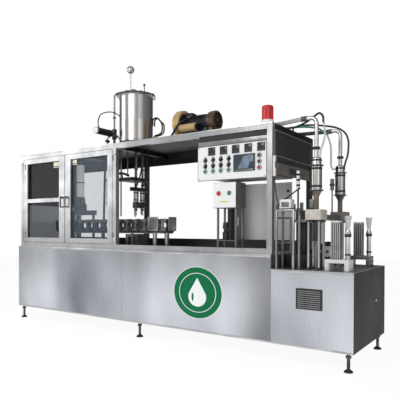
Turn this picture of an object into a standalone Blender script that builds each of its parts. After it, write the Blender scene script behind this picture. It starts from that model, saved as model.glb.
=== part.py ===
"""Two-lane liquid filling machine: steel base, glazed frame, tank, blower, controls and heating end.

Metres, +X along the line, +Y to the back, +Z up. The origin is the middle of the footprint on the floor.
"""
import math

import bmesh
import bpy
from mathutils import Matrix, Vector

# Overall sizes
LENGTH = 4.200
DEPTH = 0.984
FOOT_HEIGHT = 0.150
BASE_TOP = 0.900
LOW_TOP = 0.782
ROOF_TOP = 2.034
RIGHT_LENGTH = 0.700
LEFT_PANEL_LENGTH = 1.777
GAP = 0.0003
SEAM = 0.002

# Base
BASE_TUBE = 0.040
SHEET = 0.002
DECK_SHEET = 0.003
FOOT_XS = (-2.050, -0.110, 2.050)
FOOT_INSET = 0.045
FOOT_PAD_RADIUS = 0.045
FOOT_PAD_HEIGHT = 0.022
FOOT_STUD_RADIUS = 0.014
VENT_CENTRE_X = 1.742
VENT_CENTRE_Z = 0.551
VENT_LENGTH = 0.202
VENT_HEIGHT = 0.150
VENT_SLATS = 8
VENT_SLAT_HEIGHT = 0.012
VENT_PROUD = 0.005

# Upper frame
FRAME_INSET = 0.020
POST = 0.050
DOOR_POST_X = -0.456
REAR_POST_XS = (-0.785, 0.450)
ROOF_SHEET = 0.003
ROOF_CROSS_XS = (-1.250, -0.456, 0.600, 1.050)

# Doors
DOOR_THICKNESS = 0.030
DOOR_CLEARANCE = 0.0025
STILE = 0.075
MEETING_STILE = 0.098
DOOR_RAIL = 0.058
MID_RAIL_Z = 1.462
MID_RAIL_HEIGHT = 0.046
GLASS = 0.004
GLASS_LAP = 0.015
HANDLE_Z = 1.425
HANDLE_LENGTH = 0.115
HANDLE_PROUD = 0.035
HANDLE_BAR = 0.012
HANDLE_INSET = 0.040
HINGE_RADIUS = 0.007
HINGE_LENGTH = 0.070
HINGE_LEAF = 0.032
HINGE_END_INSET = 0.090

# Rear door
REAR_DOOR_LENGTH = 0.700
REAR_DOOR_TOP = 1.610
REAR_DOOR_LAP = 0.030
LOCK_RADIUS = 0.014
LOCK_PROUD = 0.010

# Tank and its fittings on the roof
TANK_X = -0.477
TANK_Y = -0.100
TANK_RADIUS = 0.188
TANK_WALL = 0.004
TANK_TOP = 2.612
TANK_SKIRT = 0.040
TANK_FLOOR = 0.060
LID_RADIUS = 0.217
LID_HEIGHT = 0.020
LID_DOME = 0.016
ROD_OFFSET_X = -0.043
ROD_OFFSET_Y = -0.050
FLOAT_BALL_RADIUS = 0.043
FLOAT_BALL_RISE = 0.309
FLOAT_ROD_RADIUS = 0.007
FLOAT_RADIUS = 0.050
FLOAT_LENGTH = 0.060
FLOAT_TRAVEL = 0.180
VENT_ROD_OFFSET_X = 0.120
VENT_ROD_TOP = 2.750
VENT_ROD_RADIUS = 0.005
VENT_KNOB_RADIUS = 0.013
INLET_X = -0.820
INLET_PIPE_RADIUS = 0.0105
INLET_BEND = 0.045
INLET_RISE = 0.075
ACTUATOR_Z = 2.232
ACTUATOR_RADIUS = 0.038
ACTUATOR_LENGTH = 0.250
ACTUATOR_FRONT_Y = -0.420
VALVE_RADIUS = 0.028
VALVE_HEIGHT = 0.120

# Blower
BLOWER_X = 0.345
BLOWER_Y = -0.050
BLOWER_Z = 2.230
BLOWER_RADIUS = 0.150
BLOWER_SMALL_RADIUS = 0.100
BLOWER_WIDTH = 0.090
BLOWER_LENGTH = 0.490
MOTOR_RADIUS = 0.082
MOTOR_FIN_DEPTH = 0.006
MOTOR_FINS = 4
DUCT_DEPTH = 0.240
DUCT_HEIGHT = 0.080

# Beacon
BEACON_RADIUS = 0.050
BEACON_BASE_RADIUS = 0.056
BEACON_BASE_HEIGHT = 0.030
BEACON_LENS_HEIGHT = 0.125
BEACON_END_INSET = 0.070
BEACON_FRONT_INSET = 0.052

# Control cabinet and its buttons
CABINET_LEFT = 0.640
CABINET_RIGHT = 1.345
CABINET_BOTTOM = 1.600
CABINET_DEPTH = 0.550
CABINET_WALL = 0.003
CONTROL_DOOR_LEFT = 0.632
CONTROL_DOOR_TOP = 1.885
CONTROL_DOOR_BOTTOM = 1.566
CONTROL_DOOR_THICKNESS = 0.018
METER = 0.072
METER_PROUD = 0.006
METER_XS = (0.789, 0.916, 1.043, 1.170, 1.297)
METER_Z = 1.834
SCREEN_LENGTH = 0.214
SCREEN_HEIGHT = 0.150
SCREEN_X = 1.130
SCREEN_Z = 1.706
SCREEN_PROUD = 0.007
BUTTON_XS = (0.718, 0.803, 0.887, 0.970)
SELECTOR_ZS = (1.756, 1.703)
START_Z = 1.652
COLUMN_X = 1.279
COLUMN_ZS = (1.760, 1.706, 1.654)
BUTTON_RADIUS = 0.0150
BUTTON_LENGTH = 0.008
BUTTON_TRAVEL = 0.003
COLLAR_RADIUS = 0.019
COLLAR_HEIGHT = 0.007
BUTTON_CLEARANCE = 0.0004
SELECTOR_RADIUS = 0.0155
SELECTOR_HEIGHT = 0.009
SELECTOR_GRIP_WIDTH = 0.007
SELECTOR_GRIP_HEIGHT = 0.010
GEAR_ROWS = 2
GEAR_BLOCKS = 6
GEAR_BLOCK = 0.060
GEAR_PITCH = 0.100
GEAR_DEPTH = 0.080

# Lower button box on its stand
BOX_LEFT = 0.797
BOX_RIGHT = 1.042
BOX_BOTTOM = 1.312
BOX_TOP = 1.545
BOX_DEPTH = 0.170
BOX_INSET = 0.017
BOX_LEG = 0.016
BOX_LEG_INSET = 0.018
BOX_BUTTON_Z = 1.445
MUSHROOM_X = 0.861
MUSHROOM_RADIUS = 0.023
BOX_START_X = 0.972
SHELF_Z = 1.010
SHELF_THICKNESS = 0.006
REGULATOR_HEIGHT = 0.170
REGULATOR_RADIUS = 0.030

# Filling station
LANE_HALF = 0.055
FILL_X = -0.517
FILL_BODY_RADIUS = 0.021
FILL_BODY_TOP = 1.540
FILL_BODY_BOTTOM = 1.445
FILL_FLANGE_RADIUS = 0.031
FILL_FLANGE = 0.012
NOZZLE_RADIUS = 0.011
NOZZLE_BOTTOM = 1.275
FILL_TRAVEL = 0.035
PRODUCT_PIPE_RADIUS = 0.014
BRIDGE_BEAM_Z = 1.690
BRIDGE_BEAM = 0.036
BRIDGE_REACH = 0.140
BRIDGE_HANGER_X = -0.690
BRIDGE_HANGER_BOTTOM = 1.265
HANGER_RADIUS = 0.009
MANIFOLD_HEIGHT = 0.040

# Carton conveyor
TRACK_RADIUS = 0.115
TRACK_LEFT_X = -1.760
TRACK_RIGHT_X = -0.180
TRACK_RAIL_WIDTH = 0.040
TRACK_RAIL_HEIGHT = 0.024
TRACK_RISE = 0.180
CARRIER_WIDTH = 0.056
CARRIER_HEIGHT = 0.140
CARRIER_THICKNESS = 0.062
CARRIER_WAIST = 0.020
CARRIER_STRAIGHT = 13
CARRIER_ARC = 3
TRACK_POST_RADIUS = 0.014
TRACK_POST_XS = (-1.650, -1.000, -0.520, TRACK_RIGHT_X)
TRACK_PLATE = 0.012
HEATER_X = -0.990
HEATER_RADIUS = 0.042
HEATER_TOP = 1.700
HEATER_BOTTOM = 1.430

# Heating end on the low deck
COLUMN_CENTRE_X = 1.732
LANE_INSET = 0.178
COLUMN_RADIUS = 0.0465
COLUMN_FLANGE_RADIUS = 0.060
COLUMN_FLANGE = 0.008
COLUMN_FLANGE_TOP = 1.649
COLUMN_FLANGE_BOTTOM = 1.447
COLLAR_TOP = 1.723
CONE_BOTTOM = 1.392
CONE_RADIUS = 0.022
COLUMN_PIPE_RADIUS = 0.017
COLUMN_CLAMP_Z = 1.800
COLUMN_CLAMP_RADIUS = 0.030
PIPE_TOP_Z = 2.058
PIPE_BEND = 0.050
PIPE_REACH = 0.085
PRESS_BLOCK_X = 0.135
PRESS_BLOCK_Y = 0.155
PRESS_BLOCK_TOP = 1.284
PRESS_BLOCK_BOTTOM = 1.198
PRESS_ROD_RADIUS = 0.011
PRESS_TIE = 0.050
RIBBED_X = 1.908
RIBBED_WIDTH = 0.075
RIBBED_TOP = 1.188
RIBBED_BOTTOM = 0.873
RIB_DEPTH = 0.005
RIBS = 4
CAP_HEIGHT = 0.016
BRACKET_X = 0.160
BRACKET_Y = 0.130
BRACKET_PLATE = 0.030
BRACKET_FOOT = 0.036
CUP_X = 2.000
CUP_TOP = 1.228
CUP_BOTTOM = 1.117
CUP_TOP_RADIUS = 0.030
CUP_BOTTOM_RADIUS = 0.015
CUP_WALL = 0.002
CUP_FLOOR = 0.006
CUP_VALVE_RADIUS = 0.026
CUP_VALVE_BOTTOM = 1.066
STANDPIPE_RADIUS = 0.013
DISC_X = 1.786
DISC_INSET = 0.139
DISC_Z = 0.928
DISC_RADIUS = 0.087
DISC_THICKNESS = 0.014
HUB_RADIUS = 0.041
HUB_PROUD = 0.016
DISC_SHAFT_RADIUS = 0.012
DISC_HOLES = 6
DISC_HOLE_RADIUS = 0.010
DISC_HOLE_CIRCLE = 0.063
BEARING = 0.046
BEARING_INSET = 0.055

# Valve stand at the left of the low deck
STAND_CLEARANCE = 0.018
STAND_LENGTH = 0.172
STAND_INSET = 0.047
STAND_DEPTH = 0.145
STAND_RISE = 0.503
STAND_LEG = 0.018
STAND_PLATE = 0.010
VALVE_BOX_INSET = 0.044
VALVE_BOX_LENGTH = 0.098
VALVE_BOX_HEIGHT = 0.087
VALVE_BOX_DEPTH = 0.080
LEVER_RADIUS = 0.006
LEVER_REACH = 0.125
LEVER_RISE = 0.085
LEVER_KNOB = 0.012
MAST_RADIUS = 0.008
MAST_CYLINDER_RADIUS = 0.015
MAST_RISE = 0.177
MAST_CYLINDER_LENGTH = 0.158

# Sign panel at the right end of the roof
SIGN_BOTTOM = 1.755
SIGN_THICKNESS = 0.030
SIGN_RAIL = 0.050

# Hoses
HOSE_RADIUS = 0.019
HOSE_SPACING = 0.036
HOSE_STRAIGHT = 0.050
HOSE_SWEEP = ((0.24, 0.43), (0.42, 0.61), (0.60, 0.74), (0.76, 0.86))
HOSE_ENTRY = 0.97
LINE_RADIUS = 0.009
LINE_X = 1.290
LINE_Y = -0.100
LINE_CLIP = 0.030

# Smoothness of round pieces
SIDES = 16
SMALL_SIDES = 10
TANK_SIDES = 28
BUTTON_SIDES = 12
SMOOTH_ANGLE = 30

# Derived places
RIGHT = LENGTH / 2
LEFT = -RIGHT
BACK = DEPTH / 2
FRONT = -BACK
STEP_X = RIGHT - RIGHT_LENGTH
SEAM_X = LEFT + LEFT_PANEL_LENGTH
FRAME_FRONT = FRONT + FRAME_INSET
BEACON_X = STEP_X - BEACON_END_INSET
BEACON_Y = FRAME_FRONT + BEACON_FRONT_INSET
FRAME_BACK = BACK - FRAME_INSET
FRAME_LEFT = LEFT + FRAME_INSET
ROOF_UNDER = ROOF_TOP - ROOF_SHEET
RAIL_BOTTOM = ROOF_UNDER - GAP - POST
SILL = BASE_TOP + GAP + POST
PANEL_TOP = BASE_TOP - DECK_SHEET - GAP
LOW_PANEL_TOP = LOW_TOP - DECK_SHEET - GAP
FLOAT_BALL_Z = TANK_TOP + FLOAT_BALL_RISE
TRACK_BOTTOM = BASE_TOP + TRACK_RISE
BOX_FRONT_Y = FRAME_FRONT + BOX_INSET
LANE_Y = BACK - LANE_INSET
DISC_Y = DISC_INSET - LANE_Y
BEARING_Y = -DISC_Y - BEARING_INSET
STAND_LEFT = STEP_X + STAND_CLEARANCE
STAND_RIGHT = STAND_LEFT + STAND_LENGTH
STAND_FRONT_Y = FRONT + STAND_INSET
STAND_BACK_Y = STAND_FRONT_Y + STAND_DEPTH
STAND_TOP = LOW_TOP + STAND_RISE
VALVE_BOX_LEFT = STAND_LEFT + VALVE_BOX_INSET
VALVE_BOX_RIGHT = VALVE_BOX_LEFT + VALVE_BOX_LENGTH
VALVE_BOX_TOP = STAND_TOP + VALVE_BOX_HEIGHT
MAST_CYLINDER_BOTTOM = STAND_TOP + MAST_RISE
MAST_CYLINDER_TOP = MAST_CYLINDER_BOTTOM + MAST_CYLINDER_LENGTH


def paint(name, colour, roughness, metallic=0.0):
    """A plain material with one colour."""
    material = bpy.data.materials.new(name)
    material.use_nodes = True
    shader = material.node_tree.nodes["Principled BSDF"]
    shader.inputs["Base Color"].default_value = (*colour, 1.0)
    shader.inputs["Roughness"].default_value = roughness
    shader.inputs["Metallic"].default_value = metallic
    material.diffuse_color = (*colour, 1.0)
    return material


def block(low, high):
    """A box between two corners."""
    solid = bmesh.new()
    bmesh.ops.create_cube(solid, size=1.0)
    size = [high[i] - low[i] for i in range(3)]
    middle = [(high[i] + low[i]) / 2 for i in range(3)]
    bmesh.ops.scale(solid, vec=size, verts=solid.verts)
    bmesh.ops.translate(solid, vec=middle, verts=solid.verts)
    return solid


def welded(boxes):
    """One closed body from square-cornered boxes that touch or overlap, given as pairs of corners."""
    cuts = []
    for axis in range(3):
        values = sorted(corner[axis] for box in boxes for corner in box)
        kept = [values[0]]
        for value in values[1:]:
            if value - kept[-1] > GAP / 10:
                kept.append(value)
        cuts.append(kept)

    def index(axis, value):
        return min(range(len(cuts[axis])), key=lambda i: abs(cuts[axis][i] - value))

    filled = set()
    for low, high in boxes:
        ranges = [range(index(axis, low[axis]), index(axis, high[axis])) for axis in range(3)]
        filled.update((i, j, k) for i in ranges[0] for j in ranges[1] for k in ranges[2])

    solid = bmesh.new()
    corners = {}

    def corner(key):
        if key not in corners:
            corners[key] = solid.verts.new([cuts[axis][key[axis]] for axis in range(3)])
        return corners[key]

    for cell in sorted(filled):
        for axis in range(3):
            for side in (0, 1):
                beyond = list(cell)
                beyond[axis] += 2 * side - 1
                if tuple(beyond) in filled:
                    continue
                first, second = (axis + 1) % 3, (axis + 2) % 3
                loop = []
                for step_a, step_b in ((0, 0), (1, 0), (1, 1), (0, 1)):
                    key = list(cell)
                    key[axis] += side
                    key[first] += step_a
                    key[second] += step_b
                    loop.append(corner(tuple(key)))
                solid.faces.new(loop if side else loop[::-1])
    flatten(solid)
    return solid


def flatten(solid):
    """Merge faces that lie in one plane."""
    bmesh.ops.dissolve_limit(solid, angle_limit=math.radians(0.5), verts=solid.verts, edges=solid.edges)


def rod(start, end, radius, sides=SMALL_SIDES, end_radius=None):
    """A round bar, or a cone when the end has its own radius."""
    start, end = Vector(start), Vector(end)
    solid = bmesh.new()
    bmesh.ops.create_cone(
        solid,
        cap_ends=True,
        segments=sides,
        radius1=radius,
        radius2=radius if end_radius is None else end_radius,
        depth=(end - start).length,
    )
    turn = Vector((0, 0, 1)).rotation_difference(end - start).to_matrix().to_4x4()
    bmesh.ops.transform(solid, matrix=Matrix.Translation((start + end) / 2) @ turn, verts=solid.verts)
    return solid


def turned(outline, centre=(0, 0, 0), axis="Z", sides=SIDES, closed=False):
    """A lathe-turned solid. The outline is (radius, height) points along the given axis."""
    solid = bmesh.new()
    points = [solid.verts.new((radius, 0, height)) for radius, height in outline]
    pairs = list(zip(points, points[1:]))
    if closed:
        pairs.append((points[-1], points[0]))
    edges = [solid.edges.new(pair) for pair in pairs]
    bmesh.ops.spin(
        solid, geom=points + edges, cent=(0, 0, 0), axis=(0, 0, 1), angle=math.tau, steps=sides, use_merge=True
    )
    bmesh.ops.remove_doubles(solid, verts=solid.verts, dist=GAP / 30)
    bmesh.ops.recalc_face_normals(solid, faces=solid.faces)
    turns = {
        "Z": Matrix.Identity(4),
        "X": Matrix.Rotation(math.radians(90), 4, "Y"),
        "-Y": Matrix.Rotation(math.radians(90), 4, "X"),
    }
    bmesh.ops.transform(solid, matrix=Matrix.Translation(centre) @ turns[axis], verts=solid.verts)
    return solid


def extruded(outline, low, high, plane="XZ"):
    """A flat outline pushed from low to high, across the plane that it lies in."""
    place = {
        "XZ": lambda a, b, c: (a, c, b),
        "XY": lambda a, b, c: (a, b, c),
        "YZ": lambda a, b, c: (c, a, b),
    }[plane]
    solid = bmesh.new()
    face = solid.faces.new([solid.verts.new(place(a, b, low)) for a, b in outline])
    pushed = bmesh.ops.extrude_face_region(solid, geom=[face])
    moved = [item for item in pushed["geom"] if isinstance(item, bmesh.types.BMVert)]
    bmesh.ops.translate(solid, vec=Vector(place(0, 0, high - low)), verts=moved)
    bmesh.ops.recalc_face_normals(solid, faces=solid.faces)
    return solid


def swept(route, radius, sides=SMALL_SIDES):
    """A round pipe along a route of points, with flat ends."""
    points = [Vector(point) for point in route]
    solid = bmesh.new()
    rings = []
    side = None
    for i, point in enumerate(points):
        ahead = points[min(i + 1, len(points) - 1)] - points[max(i - 1, 0)]
        ahead.normalize()
        if side is None:
            side = ahead.orthogonal().normalized()
        side = (side - ahead * side.dot(ahead)).normalized()
        across = ahead.cross(side)
        ring = []
        for k in range(sides):
            angle = math.tau * k / sides
            ring.append(solid.verts.new(point + radius * (side * math.cos(angle) + across * math.sin(angle))))
        rings.append(ring)
    for first, second in zip(rings, rings[1:]):
        for k in range(sides):
            after = (k + 1) % sides
            solid.faces.new((first[k], first[after], second[after], second[k]))
    solid.faces.new(rings[0][::-1])
    solid.faces.new(rings[-1])
    bmesh.ops.recalc_face_normals(solid, faces=solid.faces)
    return solid


def bend(corner, before, after, radius, steps=6):
    """Points of a rounded corner between the directions that come in and go out."""
    corner, before, after = Vector(corner), Vector(before).normalized(), Vector(after).normalized()
    centre = corner - before * radius + after * radius
    points = []
    for i in range(steps + 1):
        angle = math.pi / 2 * i / steps
        points.append(centre - after * radius * math.cos(angle) + before * radius * math.sin(angle))
    return points


def shaped(solids, operation):
    """Join later solids to the first, or cut them from it, as one closed body."""
    objects = []
    for solid in solids:
        mesh = bpy.data.meshes.new("tool")
        solid.to_mesh(mesh)
        solid.free()
        tool = bpy.data.objects.new("tool", mesh)
        bpy.context.scene.collection.objects.link(tool)
        objects.append(tool)
    for tool in objects[1:]:
        modifier = objects[0].modifiers.new("shape", "BOOLEAN")
        modifier.operation = operation
        modifier.solver = "EXACT"
        modifier.object = tool
    bpy.context.view_layer.update()
    result = bmesh.new()
    result.from_mesh(objects[0].evaluated_get(bpy.context.evaluated_depsgraph_get()).to_mesh())
    for tool in objects:
        mesh = tool.data
        bpy.data.objects.remove(tool)
        bpy.data.meshes.remove(mesh)
    bmesh.ops.remove_doubles(result, verts=result.verts, dist=GAP / 300)
    flatten(result)
    return result


def joined(*solids):
    return shaped(solids, "UNION")


def cut(*solids):
    return shaped(solids, "DIFFERENCE")


def piece(name, solid, material, pivot=(0, 0, 0)):
    """Put a finished solid in the scene, with its origin on its pivot."""
    bmesh.ops.translate(solid, vec=-Vector(pivot), verts=solid.verts)
    mesh = bpy.data.meshes.new(name)
    solid.to_mesh(mesh)
    solid.free()
    mesh.materials.append(material)
    mesh.shade_smooth()
    mesh.set_sharp_from_angle(angle=math.radians(SMOOTH_ANGLE))
    thing = bpy.data.objects.new(name, mesh)
    thing.location = pivot
    bpy.context.scene.collection.objects.link(thing)
    return thing


def make_base(steel, black):
    """Welded base frame with its feet, and the sheets that clad it."""
    inset = SHEET + GAP
    low = FOOT_HEIGHT
    boxes = []
    for side in (-1, 1):
        outer = side * (BACK - inset)
        inner = side * (BACK - inset - BASE_TUBE)
        near, far = min(outer, inner), max(outer, inner)
        boxes.append(((LEFT + inset, near, low), (RIGHT - inset, far, low + BASE_TUBE)))
        uprights = (
            (LEFT + inset, PANEL_TOP),
            (SEAM_X - BASE_TUBE / 2, PANEL_TOP),
            (STEP_X - inset - BASE_TUBE, PANEL_TOP),
            (RIGHT - inset - BASE_TUBE, LOW_PANEL_TOP),
        )
        for x, top in uprights:
            boxes.append(((x, near, low), (x + BASE_TUBE, far, top)))
    cross_xs = (
        LEFT + inset,
        SEAM_X - BASE_TUBE / 2,
        STEP_X - inset - BASE_TUBE,
        RIGHT - inset - BASE_TUBE,
    )
    for x in cross_xs:
        boxes.append(((x, FRONT + inset, low), (x + BASE_TUBE, BACK - inset, low + BASE_TUBE)))
    solids = [welded(boxes)]
    for x in FOOT_XS:
        for y in (FRONT + FOOT_INSET, BACK - FOOT_INSET):
            outline = (
                (0, 0),
                (FOOT_PAD_RADIUS, 0),
                (FOOT_PAD_RADIUS * 0.9, FOOT_PAD_HEIGHT / 2),
                (FOOT_STUD_RADIUS, FOOT_PAD_HEIGHT),
                (FOOT_STUD_RADIUS, FOOT_HEIGHT + BASE_TUBE / 2),
                (0, FOOT_HEIGHT + BASE_TUBE / 2),
            )
            solids.append(turned(outline, (x, y, 0), sides=BUTTON_SIDES))
    piece("base_frame", joined(*solids), steel)

    skin = FRONT + SHEET
    left_panel = block((LEFT, FRONT, low), (SEAM_X - SEAM / 2, skin, PANEL_TOP))
    piece("front_panel_left", left_panel, steel)
    middle_panel = block((SEAM_X + SEAM / 2, FRONT, low), (STEP_X - SEAM / 2, skin, PANEL_TOP))
    piece("front_panel_middle", middle_panel, steel)
    piece("front_panel_right", louvred_panel(low, skin), steel)
    outline = (
        (LEFT, low),
        (RIGHT, low),
        (RIGHT, LOW_PANEL_TOP),
        (STEP_X, LOW_PANEL_TOP),
        (STEP_X, PANEL_TOP),
        (LEFT, PANEL_TOP),
    )
    piece("rear_panel", extruded(outline, BACK - SHEET, BACK), steel)
    end_y = BACK - SHEET - GAP
    left_end = block((LEFT, -end_y, low), (LEFT + SHEET, end_y, PANEL_TOP))
    piece("left_end_panel", left_end, steel)
    right_end = block((RIGHT - SHEET, -end_y, low), (RIGHT, end_y, LOW_PANEL_TOP))
    piece("right_end_panel", right_end, black)

    riser = ((STEP_X - SHEET, -end_y, LOW_TOP + GAP), (STEP_X, end_y, BASE_TOP))
    deck = welded((((LEFT, FRONT, BASE_TOP - DECK_SHEET), (STEP_X, BACK, BASE_TOP)), riser))
    piece("main_deck", deck, steel)
    low_deck = [block((STEP_X + GAP, FRONT, LOW_TOP - DECK_SHEET), (RIGHT, BACK, LOW_TOP))]
    half = BEARING / 2
    bores = []
    for y in (-BEARING_Y, BEARING_Y):
        low_corner = (DISC_X - half, y - half / 2, LOW_TOP - DECK_SHEET / 2)
        low_deck.append(block(low_corner, (DISC_X + half, y + half / 2, DISC_Z + half)))
        bore_ends = ((DISC_X, y - half, DISC_Z), (DISC_X, y + half, DISC_Z))
        bores.append(rod(*bore_ends, DISC_SHAFT_RADIUS + 2 * GAP, SIDES))
    piece("low_deck", cut(joined(*low_deck), *bores), steel)


def louvred_panel(low, skin):
    """Right-hand front panel with its pressed louvres."""
    panel = block((STEP_X + SEAM / 2, FRONT, low), (RIGHT, skin, LOW_PANEL_TOP))
    window_low = (VENT_CENTRE_X - VENT_LENGTH / 2, FRONT - SHEET, VENT_CENTRE_Z - VENT_HEIGHT / 2)
    window_high = (VENT_CENTRE_X + VENT_LENGTH / 2, skin + SHEET, VENT_CENTRE_Z + VENT_HEIGHT / 2)
    panel = cut(panel, block(window_low, window_high))
    pitch = VENT_HEIGHT / VENT_SLATS
    slats = []
    for i in range(VENT_SLATS):
        bottom = VENT_CENTRE_Z - VENT_HEIGHT / 2 + i * pitch
        outline = (
            (FRONT - VENT_PROUD, bottom),
            (FRONT - VENT_PROUD + SHEET, bottom),
            (skin, bottom + VENT_SLAT_HEIGHT),
            (FRONT, bottom + VENT_SLAT_HEIGHT),
        )
        slats.append(extruded(outline, window_low[0] - SHEET, window_high[0] + SHEET, "YZ"))
    return joined(panel, *slats)


def side_ladder(side, posts):
    """Flat welded frame of the front or the back: top rail, bottom rail and posts."""
    outer = side * FRAME_BACK
    inner = outer - side * POST
    near, far = min(outer, inner), max(outer, inner)
    low = BASE_TOP + GAP
    high = ROOF_UNDER - GAP
    boxes = [
        ((FRAME_LEFT, near, low), (STEP_X, far, low + POST)),
        ((FRAME_LEFT, near, high - POST), (STEP_X, far, high)),
    ]
    for x in posts:
        boxes.append(((x - POST / 2, near, low), (x + POST / 2, far, high)))
    return welded(boxes)


def make_frame(steel, dark):
    """Front and rear ladders, the roof that ties them, and the sign panel at the right end."""
    end_posts = (FRAME_LEFT + POST / 2, STEP_X - POST / 2)
    piece("front_frame", side_ladder(-1, (end_posts[0], DOOR_POST_X, end_posts[1])), steel)
    piece("rear_frame", side_ladder(1, (end_posts[0], *REAR_POST_XS, end_posts[1])), steel)
    inner = FRAME_BACK - POST - GAP
    boxes = [((FRAME_LEFT, -FRAME_BACK, ROOF_UNDER), (STEP_X, FRAME_BACK, ROOF_TOP))]
    cross_xs = (FRAME_LEFT + POST / 2, *ROOF_CROSS_XS, STEP_X - POST / 2)
    for x in cross_xs:
        boxes.append(((x - POST / 2, -inner, RAIL_BOTTOM), (x + POST / 2, inner, ROOF_TOP)))
    clip = ROOF_TOP + LINE_CLIP
    boxes.append(((LINE_X - LINE_CLIP, LINE_Y - LINE_CLIP / 2, ROOF_TOP), (LINE_X, LINE_Y + LINE_CLIP / 2, clip)))
    piece("roof", welded(boxes), steel)
    sign_low = (STEP_X - SIGN_THICKNESS, -inner, SIGN_BOTTOM - SIGN_RAIL)
    sign = welded(
        (
            ((sign_low[0], -inner, SIGN_BOTTOM), (STEP_X, inner, RAIL_BOTTOM - GAP)),
            (sign_low, (STEP_X - SIGN_THICKNESS / 3, inner, SIGN_BOTTOM)),
        )
    )
    piece("sign_panel", sign, dark)


def handle(x, y, z, side, length=HANDLE_LENGTH):
    """A D-shaped pull standing out from a face at y, towards side."""
    foot = y + side * HANDLE_PROUD
    near, far = min(y, foot), max(y, foot)
    grip = (near, near + HANDLE_BAR) if side < 0 else (far - HANDLE_BAR, far)
    half = HANDLE_BAR / 2
    bottom, top = z - length / 2, z + length / 2
    return (
        ((x - half, near, bottom), (x + half, far, bottom + HANDLE_BAR)),
        ((x - half, near, top - HANDLE_BAR), (x + half, far, top)),
        ((x - half, grip[0], bottom), (x + half, grip[1], top)),
    )


def make_doors(steel, glass):
    """The two glazed doors of the left bay, each hinged on its outer stile."""
    bay_left = FRAME_LEFT + POST
    bay_right = DOOR_POST_X - POST / 2
    meeting = (bay_left + bay_right) / 2
    bottom = SILL + DOOR_CLEARANCE
    top = RAIL_BOTTOM - DOOR_CLEARANCE
    back = FRAME_FRONT + DOOR_THICKNESS
    axis_y = FRAME_FRONT - HINGE_RADIUS - GAP
    for name, left, right, hinge_side in (
        ("door_left", bay_left + DOOR_CLEARANCE, meeting - DOOR_CLEARANCE / 2, -1),
        ("door_right", meeting + DOOR_CLEARANCE / 2, bay_right - DOOR_CLEARANCE, 1),
    ):
        left_stile = STILE if hinge_side < 0 else MEETING_STILE
        right_stile = MEETING_STILE if hinge_side < 0 else STILE
        boxes = [
            ((left, FRAME_FRONT, bottom), (left + left_stile, back, top)),
            ((right - right_stile, FRAME_FRONT, bottom), (right, back, top)),
            ((left, FRAME_FRONT, bottom), (right, back, bottom + DOOR_RAIL)),
            ((left, FRAME_FRONT, top - DOOR_RAIL), (right, back, top)),
        ]
        if hinge_side < 0:
            middle = MID_RAIL_Z - MID_RAIL_HEIGHT / 2
            boxes.append(((left, FRAME_FRONT, middle), (right, back, middle + MID_RAIL_HEIGHT)))
        handle_x = right - HANDLE_INSET if hinge_side < 0 else left + HANDLE_INSET
        boxes.extend(handle(handle_x, FRAME_FRONT, HANDLE_Z, -1))
        edge = left if hinge_side < 0 else right
        axis_x = edge + hinge_side * DOOR_CLEARANCE / 2
        barrels = []
        for z in (bottom + HINGE_END_INSET, top - HINGE_END_INSET):
            low, high = z - HINGE_LENGTH / 2, z + HINGE_LENGTH / 2
            leaf = sorted((axis_x, edge - hinge_side * HINGE_LEAF))
            boxes.append(((leaf[0], axis_y - SHEET / 2, low), (leaf[1], axis_y + SHEET / 2, high)))
            pad = sorted((edge, edge - hinge_side * HINGE_LEAF))
            boxes.append(((pad[0], axis_y, low), (pad[1], FRAME_FRONT, high)))
            barrels.append(rod((axis_x, axis_y, low), (axis_x, axis_y, high), HINGE_RADIUS))
        pivot = (axis_x, axis_y, bottom)
        piece(name, joined(welded(boxes), *barrels), steel, pivot)
        pane = block(
            (left + left_stile - GLASS_LAP, back + GAP, bottom + DOOR_RAIL - GLASS_LAP),
            (right - right_stile + GLASS_LAP, back + GAP + GLASS, top - DOOR_RAIL + GLASS_LAP),
        )
        piece(name + "_glass", pane, glass, pivot)


def make_rear_door(steel):
    """Steel door at the back, behind the control area, hinged on the rear post."""
    left = REAR_POST_XS[1] + POST / 2 + DOOR_CLEARANCE
    right = left + REAR_DOOR_LENGTH
    bottom = SILL + DOOR_CLEARANCE
    axis = (left - DOOR_CLEARANCE / 2, FRAME_BACK + HINGE_RADIUS + GAP)
    fold = FRAME_BACK - REAR_DOOR_LAP
    boxes = [
        ((left, FRAME_BACK - SHEET, bottom), (right, FRAME_BACK, REAR_DOOR_TOP)),
        ((left, fold, bottom), (left + SHEET, FRAME_BACK, REAR_DOOR_TOP)),
        ((right - SHEET, fold, bottom), (right, FRAME_BACK, REAR_DOOR_TOP)),
        ((left, fold, bottom), (right, FRAME_BACK, bottom + SHEET)),
        ((left, fold, REAR_DOOR_TOP - SHEET), (right, FRAME_BACK, REAR_DOOR_TOP)),
    ]
    boxes.extend(handle(right - HANDLE_INSET, FRAME_BACK, (bottom + REAR_DOOR_TOP) / 2, 1))
    solids = []
    for z in (bottom + HINGE_END_INSET, REAR_DOOR_TOP - HINGE_END_INSET):
        low, high = z - HINGE_LENGTH / 2, z + HINGE_LENGTH / 2
        boxes.append(((axis[0], axis[1] - SHEET / 2, low), (left + HINGE_LEAF, axis[1] + SHEET / 2, high)))
        boxes.append(((left, FRAME_BACK - SHEET, low), (left + HINGE_LEAF, axis[1], high)))
        solids.append(rod((*axis, low), (*axis, high), HINGE_RADIUS))
    lock_z = REAR_DOOR_TOP - HINGE_END_INSET
    lock = rod(
        (right - HANDLE_INSET, FRAME_BACK - SHEET - LOCK_PROUD, lock_z),
        (right - HANDLE_INSET, FRAME_BACK + LOCK_PROUD, lock_z),
        LOCK_RADIUS,
        BUTTON_SIDES,
    )
    piece("rear_door", joined(welded(boxes), *solids, lock), steel, (*axis, bottom))


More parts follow.
